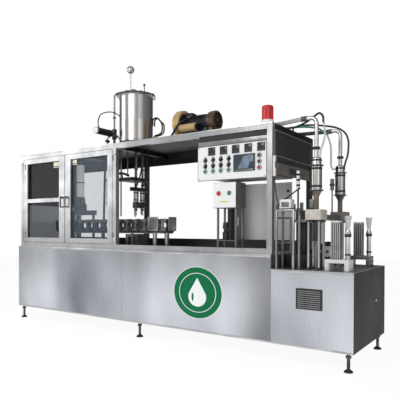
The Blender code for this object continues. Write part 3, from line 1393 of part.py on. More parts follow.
def make_valve_stand(white, black):
    """Leg stand with its valve box and mast, and the hand lever on the box."""
    floor = LOW_TOP + GAP
    leg = STAND_LEG
    boxes = [
        (
            (STAND_LEFT, STAND_FRONT_Y, STAND_TOP - STAND_PLATE),
            (STAND_RIGHT, STAND_BACK_Y, STAND_TOP),
        )
    ]
    for x in (STAND_LEFT, STAND_RIGHT - leg):
        for y in (STAND_FRONT_Y, STAND_BACK_Y - leg):
            boxes.append(((x, y, floor), (x + leg, y + leg, STAND_TOP)))
    box_front = STAND_FRONT_Y + leg
    box_back = box_front + VALVE_BOX_DEPTH
    boxes.append(((VALVE_BOX_LEFT, box_front, STAND_TOP), (VALVE_BOX_RIGHT, box_back, VALVE_BOX_TOP)))
    mast_y = STAND_BACK_Y - leg
    mast = turned(
        (
            (0, STAND_TOP - STAND_PLATE / 2),
            (MAST_RADIUS, STAND_TOP - STAND_PLATE / 2),
            (MAST_RADIUS, MAST_CYLINDER_BOTTOM),
            (MAST_CYLINDER_RADIUS, MAST_CYLINDER_BOTTOM),
            (MAST_CYLINDER_RADIUS, MAST_CYLINDER_TOP),
            (0, MAST_CYLINDER_TOP),
        ),
        (STAND_RIGHT - leg, mast_y, 0),
    )
    piece("valve_stand", joined(welded(boxes), mast), white)

    pivot = (VALVE_BOX_LEFT + LEVER_KNOB * 2, box_front + VALVE_BOX_DEPTH / 2, VALVE_BOX_TOP + GAP)
    hub = rod(pivot, (pivot[0], pivot[1], pivot[2] + LEVER_KNOB), LEVER_KNOB)
    start = Vector(pivot) + Vector((0, 0, LEVER_KNOB / 2))
    end = start + Vector((LEVER_REACH, 0, LEVER_RISE))
    arm = rod(start, end, LEVER_RADIUS)
    knob = turned(((0, -LEVER_KNOB), (LEVER_KNOB, 0), (0, LEVER_KNOB)), end, sides=SMALL_SIDES)
    piece("valve_lever", joined(hub, arm, knob), black, pivot)


def hose(name, route, radius, material):
    """A flexible hose through the points of its route, straight at both ends and smooth between."""
    points = [Vector(point) for point in route]
    smooth = []
    last = len(points) - 1
    for i in range(last):
        steps = 1 if i in (0, last - 1) else 3
        p0, p1, p2, p3 = points[max(i - 1, 0)], points[i], points[i + 1], points[min(i + 2, last)]
        for k in range(steps):
            t = k / steps
            smooth.append(
                0.5
                * (
                    2 * p1
                    + (p2 - p0) * t
                    + (2 * p0 - 5 * p1 + 4 * p2 - p3) * t * t
                    + (3 * p1 - p0 - 3 * p2 + p3) * t * t * t
                )
            )
    smooth.append(points[-1])
    curve = bpy.data.curves.new(name, "CURVE")
    curve.dimensions = "3D"
    curve.bevel_depth = radius
    curve.bevel_resolution = 2
    curve.use_fill_caps = True
    spline = curve.splines.new("POLY")
    spline.points.add(len(smooth) - 1)
    for point, place in zip(spline.points, smooth):
        point.co = (*place, 1)
    curve.materials.append(material)
    thing = bpy.data.objects.new(name, curve)
    bpy.context.scene.collection.objects.link(thing)
    return thing


def make_hoses(grey, black, green):
    """Two air hoses from the blower to the heater columns, and the small air line to the rear column."""
    on_roof = ROOF_TOP + HOSE_RADIUS + 2 * GAP
    start_x = BLOWER_X + BLOWER_LENGTH / 2 - BLOWER_WIDTH * 0.25 + 2 * GAP
    end_x = COLUMN_CENTRE_X - PIPE_REACH - 2 * GAP
    for name, side, material in (("grey_hose", -1, grey), ("black_hose", 1, black)):
        at_blower = BLOWER_Y + side * HOSE_SPACING
        route = [(start_x, at_blower, on_roof), (start_x + HOSE_STRAIGHT, at_blower, on_roof)]
        for along, across in HOSE_SWEEP:
            x = start_x + (end_x - start_x) * along
            route.append((x, side * LANE_Y * across, on_roof))
        route.append((end_x - 2 * HOSE_STRAIGHT, side * LANE_Y * HOSE_ENTRY, PIPE_TOP_Z - 3 * GAP))
        route += [(end_x - HOSE_STRAIGHT, side * LANE_Y, PIPE_TOP_Z), (end_x, side * LANE_Y, PIPE_TOP_Z)]
        hose(name, route, HOSE_RADIUS, material)
    line_z = ROOF_TOP + LINE_CLIP / 2
    column_side = COLUMN_CENTRE_X - COLUMN_RADIUS * 0.9 - 2 * GAP
    seat_z = COLLAR_TOP - 0.030
    route = [
        (LINE_X + 2 * GAP, LINE_Y, line_z),
        (LINE_X + 0.040, LINE_Y, line_z),
        (1.420, -0.085, line_z + 0.002),
        (1.520, -0.020, line_z + 0.006),
        (1.600, 0.090, line_z + 0.002),
        (1.642, 0.200, ROOF_TOP - 0.020),
        (1.650, 0.270, ROOF_TOP - 0.100),
        (1.646, 0.305, ROOF_TOP - 0.200),
        (1.642, LANE_Y, seat_z + 0.060),
        (1.652, LANE_Y, seat_z + 0.010),
        (column_side - 0.015, LANE_Y, seat_z),
        (column_side, LANE_Y, seat_z),
    ]
    hose("green_hose", route, LINE_RADIUS, green)


def build():
    for thing in list(bpy.data.objects):
        bpy.data.objects.remove(thing)
    steel = paint("brushed_steel", (0.62, 0.63, 0.65), 0.35, 1.0)
    polished = paint("polished_steel", (0.78, 0.78, 0.78), 0.15, 1.0)
    charcoal = paint("charcoal_paint", (0.05, 0.05, 0.05), 0.5)
    black = paint("black_plastic", (0.02, 0.02, 0.02), 0.45)
    dark = paint("dark_steel", (0.20, 0.20, 0.21), 0.4, 1.0)
    pale = paint("pale_paint", (0.72, 0.74, 0.74), 0.5)
    white = paint("white_plate", (0.85, 0.86, 0.86), 0.4)
    beige = paint("beige_block", (0.72, 0.66, 0.56), 0.6)
    gold = paint("gold_paint", (0.55, 0.42, 0.20), 0.35, 0.6)
    red = paint("red_plastic", (0.75, 0.02, 0.02), 0.3)
    green = paint("green_plastic", (0.03, 0.45, 0.15), 0.35)
    glass = paint("clear_glass", (0.80, 0.88, 0.90), 0.05)
    grey = paint("grey_hose", (0.60, 0.61, 0.61), 0.5)

    make_base(steel, charcoal)
    make_frame(steel, charcoal)
    make_doors(steel, glass)
    make_rear_door(steel)
    make_tank(polished, dark)
    make_blower(gold)
    make_beacon(red)
    make_cabinet(pale, white)
    make_controls(black, green, red)
    make_button_box(pale, red, green)
    make_filler(steel, dark)
    make_conveyor(dark, steel)
    make_heating_end(steel, beige, dark, black)
    make_valve_stand(white, black)
    make_hoses(grey, black, green)


build()
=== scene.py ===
"""Looks of the two-lane liquid filling machine: finishes, fittings, controls and hoses."""

import math

import bmesh
import bpy
from mathutils import Euler, Matrix, Vector


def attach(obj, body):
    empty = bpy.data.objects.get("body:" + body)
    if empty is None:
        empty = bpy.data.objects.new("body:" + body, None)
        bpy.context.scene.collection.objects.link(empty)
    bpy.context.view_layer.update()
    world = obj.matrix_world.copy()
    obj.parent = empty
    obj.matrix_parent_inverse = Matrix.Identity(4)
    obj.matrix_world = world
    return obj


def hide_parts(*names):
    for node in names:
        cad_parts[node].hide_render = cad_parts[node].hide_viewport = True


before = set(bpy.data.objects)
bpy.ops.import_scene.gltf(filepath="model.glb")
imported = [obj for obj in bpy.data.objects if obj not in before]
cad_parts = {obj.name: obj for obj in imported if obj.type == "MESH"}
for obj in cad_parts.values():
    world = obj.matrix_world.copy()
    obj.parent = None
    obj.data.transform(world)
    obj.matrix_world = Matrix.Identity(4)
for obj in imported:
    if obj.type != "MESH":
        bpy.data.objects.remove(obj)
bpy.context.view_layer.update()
scene = bpy.context.scene
MACHINE = "machine"

# Places shared with the solids, in metres
FRONT = -0.492
FRAME_FRONT = -0.472
FRAME_BACK = 0.472
LEFT = -2.100
RIGHT = 2.100
STEP_X = 1.400
SEAM_X = -0.323
BASE_TOP = 0.900
LOW_TOP = 0.782
ROOF_TOP = 2.034
ROOF_UNDER = 2.031
LANE_Y = 0.314
GAP = 0.0003
ON_FRAME = FRAME_FRONT - 0.0001
DECK_FLOOR = 0.9003
LOW_FLOOR = 0.7823
ROOF_FLOOR = ROOF_TOP + GAP
UNDER_ROOF = 2.0295
TANK_X = -0.477
TANK_Y = -0.100
TANK_RIM = 2.612
LID_SEAT = TANK_RIM + GAP
INLET_X = -0.820
HEAD_X = -0.517
HEAD_YS = (-0.055, 0.055)
SELECTOR_XS = (0.718, 0.803, 0.887, 0.970)
SELECTOR_ZS = (1.756, 1.703)
BUTTON_Z = 1.652
SIDE_BUTTON_X = 1.279
SIDE_BUTTON_ZS = (1.760, 1.706, 1.654)
METER_XS = (0.789, 0.916, 1.043, 1.170, 1.297)
METER_Z = 1.834
PANEL_LEFT = 0.632
PANEL_RIGHT = 1.3475
PANEL_BOTTOM = 1.566
PANEL_TOP = 1.885
FRAME_LEFT = -2.055
DOOR_POST = -0.456
RAIL_Y = 0.420
TRACK_LEFT = -1.760
TRACK_RIGHT = -0.180
TRACK_RADIUS = 0.115
COLUMN_X = 1.732
HOSE_Z = 2.058
HOSE_BEND = 0.085
RIB_X = 1.908
RIB_HALF = 0.0375
CUP_X = 2.000
DISC_X = 1.786
DISC_Z = 0.928

# Turns and working values
FACING_FRONT = (math.pi / 2, 0, 0)
ORIGIN = (0, 0, 0)
TINY = 1e-6
BEVEL_SEGMENTS = 2
BEVEL_PROFILE = 0.6
GRAIN_DEPTH = 0.0006
SHARP_ANGLE = 35
CURVE_STEPS = 5


# Finishes

def new_group(name, inputs, outputs):
    """An empty shader group with its named sockets."""
    tree = bpy.data.node_groups.new(name, "ShaderNodeTree")
    for label, kind, value in inputs:
        socket = tree.interface.new_socket(name=label, in_out="INPUT", socket_type=kind)
        if value is not None:
            socket.default_value = value
    for label, kind in outputs:
        tree.interface.new_socket(name=label, in_out="OUTPUT", socket_type=kind)
    return tree, tree.nodes.new("NodeGroupInput"), tree.nodes.new("NodeGroupOutput")


def tone_and_sheen_surface():
    """Grain and broad patches: the tone, roughness and height of a surface. On the sheet steels the broad
    light and dark patches are painted sheen and shade.
    """
    tree, given, result = new_group(
        "tone_and_sheen_surface",
        (
            ("Place", "NodeSocketVector", None),
            ("Grain Stretch", "NodeSocketVector", (1, 1, 1)),
            ("Grain Scale", "NodeSocketFloat", 60.0),
            ("Patch Stretch", "NodeSocketVector", (1, 1, 1)),
            ("Patch Scale", "NodeSocketFloat", 2.0),
            ("Grain Share", "NodeSocketFloat", 0.4),
            ("Light", "NodeSocketColor", (0.8, 0.8, 0.8, 1)),
            ("Dark", "NodeSocketColor", (0.5, 0.5, 0.5, 1)),
            ("Rough Low", "NodeSocketFloat", 0.3),
            ("Rough High", "NodeSocketFloat", 0.5),
        ),
        (("Colour", "NodeSocketColor"), ("Roughness", "NodeSocketFloat"), ("Height", "NodeSocketFloat")),
    )
    link = tree.links.new

    def noise(stretch, scale, detail):
        scaled = tree.nodes.new("ShaderNodeVectorMath")
        scaled.operation = "MULTIPLY"
        link(given.outputs["Place"], scaled.inputs[0])
        link(given.outputs[stretch], scaled.inputs[1])
        cloud = tree.nodes.new("ShaderNodeTexNoise")
        cloud.inputs["Detail"].default_value = detail
        link(scaled.outputs[0], cloud.inputs["Vector"])
        link(given.outputs[scale], cloud.inputs["Scale"])
        return cloud.outputs["Fac"]

    grain = noise("Grain Stretch", "Grain Scale", 4.0)
    patch = noise("Patch Stretch", "Patch Scale", 2.0)
    blend = tree.nodes.new("ShaderNodeMix")
    link(given.outputs["Grain Share"], blend.inputs["Factor"])
    link(patch, blend.inputs["A"])
    link(grain, blend.inputs["B"])
    tone = tree.nodes.new("ShaderNodeMapRange")
    tone.inputs["From Min"].default_value = 0.32
    tone.inputs["From Max"].default_value = 0.68
    link(blend.outputs["Result"], tone.inputs["Value"])
    colour = tree.nodes.new("ShaderNodeMix")
    colour.data_type = "RGBA"
    link(tone.outputs["Result"], colour.inputs["Factor"])
    link(given.outputs["Dark"], colour.inputs[6])
    link(given.outputs["Light"], colour.inputs[7])
    rough = tree.nodes.new("ShaderNodeMapRange")
    link(tone.outputs["Result"], rough.inputs["Value"])
    link(given.outputs["Rough Low"], rough.inputs["To Max"])
    link(given.outputs["Rough High"], rough.inputs["To Min"])
    link(colour.outputs[2], result.inputs["Colour"])
    link(rough.outputs["Result"], result.inputs["Roughness"])
    link(grain, result.inputs["Height"])
    return tree


TONE_AND_SHEEN = tone_and_sheen_surface()


def painted_shade_ramp(tree, place, colour, axis, start, end, tone):
    """Painted shade: the colour darkened or lightened at one end of an axis, running evenly to itself at the
    other.
    """
    parts = tree.nodes.new("ShaderNodeSeparateXYZ")
    tree.links.new(place, parts.inputs[0])
    span = tree.nodes.new("ShaderNodeMapRange")
    span.interpolation_type = "SMOOTHSTEP"
    span.inputs["From Min"].default_value = start
    span.inputs["From Max"].default_value = end
    span.inputs["To Min"].default_value = tone
    span.inputs["To Max"].default_value = 1.0
    tree.links.new(parts.outputs[axis], span.inputs["Value"])
    scaled = tree.nodes.new("ShaderNodeVectorMath")
    scaled.operation = "SCALE"
    tree.links.new(colour, scaled.inputs[0])
    tree.links.new(span.outputs["Result"], scaled.inputs["Scale"])
    return scaled.outputs[0]


def finish(
    name, light, dark, rough, metallic=0.0, grain=60.0, stretch=(1, 1, 1), patch=2.0,
    patch_stretch=(1, 1, 1), share=0.4, bump=0.1, coat=0.0, alpha=1.0, glow=0.0, painted_shade=None, shine=0.5
):
    """A material that places the grain and broad patches of the surface. A painted shade is (axis, start,
    end, tone at the start).
    """
    material = bpy.data.materials.new(name)
    material.use_nodes = True
    tree = material.node_tree
    shader = tree.nodes["Principled BSDF"]
    place = tree.nodes.new("ShaderNodeTexCoord")
    tone_and_sheen = tree.nodes.new("ShaderNodeGroup")
    tone_and_sheen.node_tree = TONE_AND_SHEEN
    tree.links.new(place.outputs["Object"], tone_and_sheen.inputs["Place"])
    values = {
        "Grain Stretch": stretch, "Grain Scale": grain, "Patch Stretch": patch_stretch,
        "Patch Scale": patch, "Grain Share": share, "Light": (*light, 1), "Dark": (*dark, 1),
        "Rough Low": rough[0], "Rough High": rough[1],
    }
    for label, value in values.items():
        tone_and_sheen.inputs[label].default_value = value
    relief = tree.nodes.new("ShaderNodeBump")
    relief.inputs["Strength"].default_value = bump
    relief.inputs["Distance"].default_value = GRAIN_DEPTH
    tree.links.new(tone_and_sheen.outputs["Height"], relief.inputs["Height"])
    tree.links.new(relief.outputs["Normal"], shader.inputs["Normal"])
    colour = tone_and_sheen.outputs["Colour"]
    if painted_shade:
        colour = painted_shade_ramp(tree, place.outputs["Object"], colour, *painted_shade)
    tree.links.new(colour, shader.inputs["Base Color"])
    tree.links.new(tone_and_sheen.outputs["Roughness"], shader.inputs["Roughness"])
    shader.inputs["Metallic"].default_value = metallic
    shader.inputs["Coat Weight"].default_value = coat
    shader.inputs["Alpha"].default_value = alpha
    shader.inputs["Specular IOR Level"].default_value = shine
    if glow:
        tree.links.new(tone_and_sheen.outputs["Colour"], shader.inputs["Emission Color"])
        shader.inputs["Emission Strength"].default_value = glow
    return material


UPRIGHT = (1.0, 1.0, 0.02)
LEVEL = (0.02, 1.0, 1.0)

# Steel
# Painted sheen and shade: the broad light and dark upright patches of the sheet steel.
steel_sheet = finish(
    "sheet_steel", (0.66, 0.675, 0.72), (0.19, 0.20, 0.222), (0.22, 0.36), 0.90, 240, UPRIGHT, 1.3,
    (1.0, 1.0, 0.45), 0.16, 0.06
)
steel_frame = finish(
    "frame_steel", (0.58, 0.58, 0.59), (0.34, 0.34, 0.35), (0.24, 0.38), 0.88, 260, UPRIGHT, 5, share=0.3
)
steel_level = finish(
    "rail_steel", (0.60, 0.60, 0.61), (0.36, 0.36, 0.37), (0.24, 0.38), 0.88, 260, LEVEL, 5, share=0.3
)
deck_steel = finish("deck_steel", (0.42, 0.42, 0.43), (0.20, 0.20, 0.21), (0.26, 0.40), 0.85, 200, LEVEL, 5)
# Painted shade: the rear door darker towards its left end, over upright bands of painted sheen.
rear_sheet = finish(
    "rear_door_steel", (0.92, 0.91, 0.92), (0.70, 0.69, 0.70), (0.30, 0.44), 0.20, 240, UPRIGHT, 2.6,
    (1, 1, 0.12), 0.2, 0.1, painted_shade=("X", 0.56, 0.82, 0.14)
)
# Painted shade: the middle sheet darker towards its right end, over the painted sheen and shade of the sheet
# steel.
middle_sheet = finish(
    "middle_sheet_steel", (0.66, 0.675, 0.72), (0.19, 0.20, 0.222), (0.22, 0.36), 0.90, 240, UPRIGHT, 1.3,
    (1.0, 1.0, 0.45), 0.16, 0.06, painted_shade=("X", 1.36, 0.85, 0.58)
)
polished = finish(
    "polished_steel", (0.62, 0.60, 0.58), (0.42, 0.405, 0.39), (0.15, 0.22), 0.97, 170, UPRIGHT, 9,
    (1, 1, 0.08), 0.25, 0.02
)
# Painted shade: the tank darker at its foot, next to the roof.
tank_steel = finish(
    "tank_steel", (0.62, 0.60, 0.585), (0.42, 0.405, 0.39), (0.18, 0.28), 0.95, 170, UPRIGHT, 9,
    (1, 1, 0.08), 0.25, 0.04, painted_shade=("Z", 2.060, 2.130, 0.12)
)
bright_rod = finish(
    "bright_rod", (0.66, 0.65, 0.64), (0.42, 0.42, 0.41), (0.16, 0.28), 0.93, 300, UPRIGHT, 12, bump=0.04
)
dull_rod = finish(
    "dull_rod", (0.34, 0.33, 0.32), (0.18, 0.175, 0.17), (0.25, 0.40), 0.85, 300, UPRIGHT, 12, bump=0.06
)
dark_steel = finish(
    "oiled_dark_steel", (0.13, 0.13, 0.135), (0.04, 0.04, 0.043), (0.30, 0.46), 0.75, 180, patch=14
)
gunmetal = finish("gunmetal", (0.26, 0.26, 0.27), (0.12, 0.12, 0.125), (0.28, 0.42), 0.75, 220, patch=18)
groove_black = finish(
    "groove_black", (0.045, 0.042, 0.042), (0.018, 0.017, 0.017), (0.45, 0.60), 0.2, 220, UPRIGHT, 20
)

# Paints, plastics and rubber
charcoal = finish(
    "charcoal_paint", (0.030, 0.031, 0.030), (0.014, 0.0145, 0.014), (0.42, 0.58), 0.0, 320, patch=3,
    bump=0.12
)
# Black for seals, grips and linings; also painted shade under the roof, along the rear rails and in the gap
# over the operator panel.
black_trim_and_shade = finish(
    "black_trim_and_shade", (0.018, 0.018, 0.020), (0.008, 0.008, 0.009), (0.42, 0.60), 0.0, 200, patch=5, bump=0.10
)
sign_face = finish(
    "dark_sign_face", (0.016, 0.017, 0.022), (0.009, 0.010, 0.013), (0.22, 0.34), 0.0, 200, patch=4,
    coat=0.2
)
black_plastic = finish(
    "black_plastic", (0.016, 0.016, 0.017), (0.006, 0.006, 0.007), (0.34, 0.50), 0.0, 500, patch=30,
    bump=0.15
)
black_rubber = finish(
    "black_rubber", (0.026, 0.025, 0.025), (0.012, 0.012, 0.012), (0.50, 0.70), 0.0, 420, patch=25, bump=0.3
)
white_plate = finish(
    "white_panel_paint", (0.80, 0.81, 0.81), (0.72, 0.73, 0.73), (0.30, 0.42), 0.0, 380, patch=6, bump=0.10
)
white_plastic = finish(
    "white_plastic", (0.82, 0.82, 0.80), (0.66, 0.66, 0.65), (0.30, 0.42), 0.0, 420, patch=25, bump=0.08
)
beige_block = finish(
    "beige_block", (0.62, 0.57, 0.50), (0.42, 0.38, 0.33), (0.42, 0.58), 0.0, 90, patch=16, bump=0.25
)
brown_block = finish(
    "brown_grey_block", (0.26, 0.225, 0.19), (0.13, 0.11, 0.10), (0.45, 0.60), 0.10, 160, patch=14,
    bump=0.25
)
gold_paint = finish(
    "gold_blower_paint", (0.74, 0.53, 0.25), (0.46, 0.31, 0.13), (0.22, 0.34), 0.38, 120, patch=9, bump=0.2,
    coat=0.3
)
bronze_paint = finish(
    "dark_bronze_paint", (0.17, 0.12, 0.065), (0.05, 0.036, 0.022), (0.30, 0.46), 0.60, 140, patch=14,
    bump=0.2
)
motor_paint = finish(
    "blue_black_motor_paint", (0.024, 0.027, 0.036), (0.008, 0.009, 0.013), (0.26, 0.40), 0.1, 220,
    patch=14, bump=0.2
)

# Lamp, buttons and prints
red_lens = finish(
    "red_lens", (0.70, 0.004, 0.008), (0.26, 0.001, 0.003), (0.18, 0.30), 0.0, 90, (1, 1, 0.2), 20,
    (1, 1, 0.1), bump=0.05, glow=0.06
)
red_plastic = finish(
    "red_button", (0.52, 0.008, 0.015), (0.38, 0.005, 0.010), (0.22, 0.34), 0.0, 300, patch=30, coat=0.4
)
green_plastic = finish(
    "green_button", (0.010, 0.20, 0.10), (0.006, 0.13, 0.06), (0.22, 0.34), 0.0, 300, patch=30, coat=0.4
)
green_print = finish(
    "green_print", (0.002, 0.160, 0.060), (0.001, 0.130, 0.048), (0.45, 0.58), 0.0, 260, patch=12,
    bump=0.03, shine=0.15
)
white_print = finish(
    "white_print", (0.86, 0.87, 0.87), (0.78, 0.79, 0.79), (0.30, 0.40), 0.0, 260, patch=12, bump=0.05
)
yellow_print = finish(
    "yellow_print", (0.66, 0.60, 0.12), (0.55, 0.48, 0.08), (0.32, 0.44), 0.0, 260, patch=12, bump=0.05
)
screen_glass = finish(
    "screen_glass", (0.050, 0.070, 0.100), (0.025, 0.036, 0.055), (0.08, 0.14), 0.0, 8, patch=7, coat=0.5
)
# Painted reflection on the touch screen's glass.
screen_painted_reflection = finish(
    "screen_painted_reflection", (0.20, 0.27, 0.34), (0.09, 0.12, 0.17), (0.10, 0.18), 0.0, 8, patch=12, coat=0.4
)
meter_black = finish(
    "meter_face", (0.022, 0.022, 0.024), (0.012, 0.012, 0.013), (0.12, 0.22), 0.0, 300, patch=40, coat=0.4
)

# Hoses, glass and clear plastic
grey_rubber = finish(
    "grey_hose_rubber", (0.50, 0.51, 0.50), (0.32, 0.33, 0.33), (0.40, 0.55), 0.0, 300, patch=20, bump=0.2
)
green_tube = finish(
    "green_tube", (0.030, 0.23, 0.15), (0.014, 0.13, 0.085), (0.20, 0.32), 0.0, 300, patch=20, coat=0.4
)
clear_tube = finish(
    "milky_tube", (0.60, 0.63, 0.61), (0.42, 0.45, 0.44), (0.15, 0.25), 0.0, 200, patch=20, alpha=0.62
)
# Painted shade: near-black glass on the left door, darker than the right door's, for the dark inside of the
# bay.
glass_left = finish(
    "left_glass_painted_shade", (0.010, 0.012, 0.016), (0.005, 0.006, 0.008), (0.03, 0.06), 0.0, 40, patch=3, bump=0.0,
    alpha=0.45, shine=0.22
)
glass_right = finish(
    "pale_glass", (0.130, 0.170, 0.210), (0.080, 0.110, 0.140), (0.02, 0.05), 0.0, 40, patch=3, bump=0.0,
    alpha=0.26, shine=0.3
)
cup_plastic = finish(
    "cup_plastic", (0.74, 0.76, 0.76), (0.50, 0.53, 0.54), (0.06, 0.12), 0.0, 80, patch=20, alpha=0.50
)

# Floor, shaded sheets and the pieces behind the glass
pale_floor = finish(
    "pale_floor", (0.97, 0.97, 0.97), (0.94, 0.94, 0.94), (0.5, 0.6), 0.0, 20, patch=0.6, bump=0.02,
    glow=0.40
)
# Painted shade: darkened steel for the rear frame, which stands in shade.
shade_steel = finish(
    "shaded_steel", (0.075, 0.075, 0.08), (0.022, 0.022, 0.024), (0.34, 0.50), 0.55, 200, UPRIGHT, 6
)
brown_steel = finish(
    "brown_cabinet_steel", (0.26, 0.235, 0.215), (0.13, 0.115, 0.105), (0.35, 0.50), 0.60, 200, UPRIGHT, 6
)
cast_grey = finish(
    "cast_grey", (0.52, 0.515, 0.52), (0.34, 0.335, 0.34), (0.30, 0.44), 0.75, 220, UPRIGHT, 20
)
# Painted shade: the roof darker down its edges and on its underside.
roof_steel = finish(
    "roof_steel", (0.62, 0.62, 0.63), (0.44, 0.44, 0.45), (0.26, 0.38), 0.80, 220, LEVEL, 4, share=0.3,
    painted_shade=("Z", 2.0300, 2.0335, 0.05)
)
# Painted light: the heater tube behind the left door glows though it is no lamp, and painted shade darkens
# its left side.
bay_steel = finish(
    "bay_tube_steel", (0.80, 0.77, 0.73), (0.52, 0.49, 0.46), (0.22, 0.34), 0.45, 170, UPRIGHT, 9,
    (1, 1, 0.08), 0.3, 0.04, glow=0.60, painted_shade=("X", -1.520, -1.475, 0.45)
)
leg_steel = finish(
    "stand_leg_steel", (0.44, 0.435, 0.43), (0.24, 0.235, 0.23), (0.25, 0.38), 0.85, 260, UPRIGHT, 6
)
# Painted shade: near-black upper part of the left end wall, for the dark inside of the bay.
end_dark = finish(
    "end_wall_dark", (0.030, 0.033, 0.040), (0.010, 0.011, 0.014), (0.35, 0.5), 0.0, 40, patch=5
)
# Painted light: the lower part of the left end wall glows.
end_grey = finish(
    "end_wall_grey", (0.58, 0.61, 0.66), (0.47, 0.50, 0.55), (0.35, 0.5), 0.0, 40, patch=4, glow=0.46
)
label_paper = finish(
    "label_paper", (0.80, 0.82, 0.60), (0.70, 0.72, 0.50), (0.40, 0.52), 0.0, 260, patch=12, bump=0.05
)
cone_steel = finish(
    "dark_cone_steel", (0.21, 0.18, 0.15), (0.070, 0.058, 0.048), (0.26, 0.40), 0.75, 140, patch=14,
    bump=0.1
)
# Near-black over the whole right end panel.
right_end_black = finish(
    "right_end_near_black", (0.016, 0.0165, 0.016), (0.007, 0.0072, 0.007), (0.46, 0.62), 0.0, 320, patch=2,
    bump=0.12, shine=0.30
)

FINISH_OF = {
    "base_frame": steel_frame, "front_panel_left": steel_sheet, "front_panel_middle": middle_sheet,
    "front_panel_right": steel_sheet, "rear_panel": steel_sheet, "left_end_panel": steel_sheet,
    "right_end_panel": right_end_black, "main_deck": deck_steel, "low_deck": deck_steel,
    "front_frame": steel_frame, "rear_frame": shade_steel, "roof": roof_steel, "sign_panel": sign_face,
    "door_left": steel_frame, "door_left_glass": glass_left, "door_right": steel_frame,
    "door_right_glass": glass_right, "rear_door": rear_sheet, "float_rod": polished,
    "inlet_valve": black_plastic, "control_cabinet": brown_steel, "control_door": white_plate,
    "stop_button": red_plastic, "button_box": brown_steel, "emergency_stop": red_plastic,
    "box_start_button": green_plastic, "filler_bridge": dull_rod, "filling_head_front": bright_rod,
    "filling_head_rear": bright_rod, "conveyor_bed": dull_rod, "valve_lever": black_plastic,
    "black_button_upper": black_plastic, "black_button_lower": black_plastic,
}
for number in range(1, 9):
    FINISH_OF[f"selector_{number}"] = black_plastic
for number in range(1, 5):
    FINISH_OF[f"start_button_{number}"] = green_plastic
for name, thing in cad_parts.items():
    chosen = FINISH_OF.get(name, dark_steel)
    if not thing.material_slots:
        thing.data.materials.append(chosen)
    for kept in thing.material_slots:
        kept.material = chosen


# Making of shapes

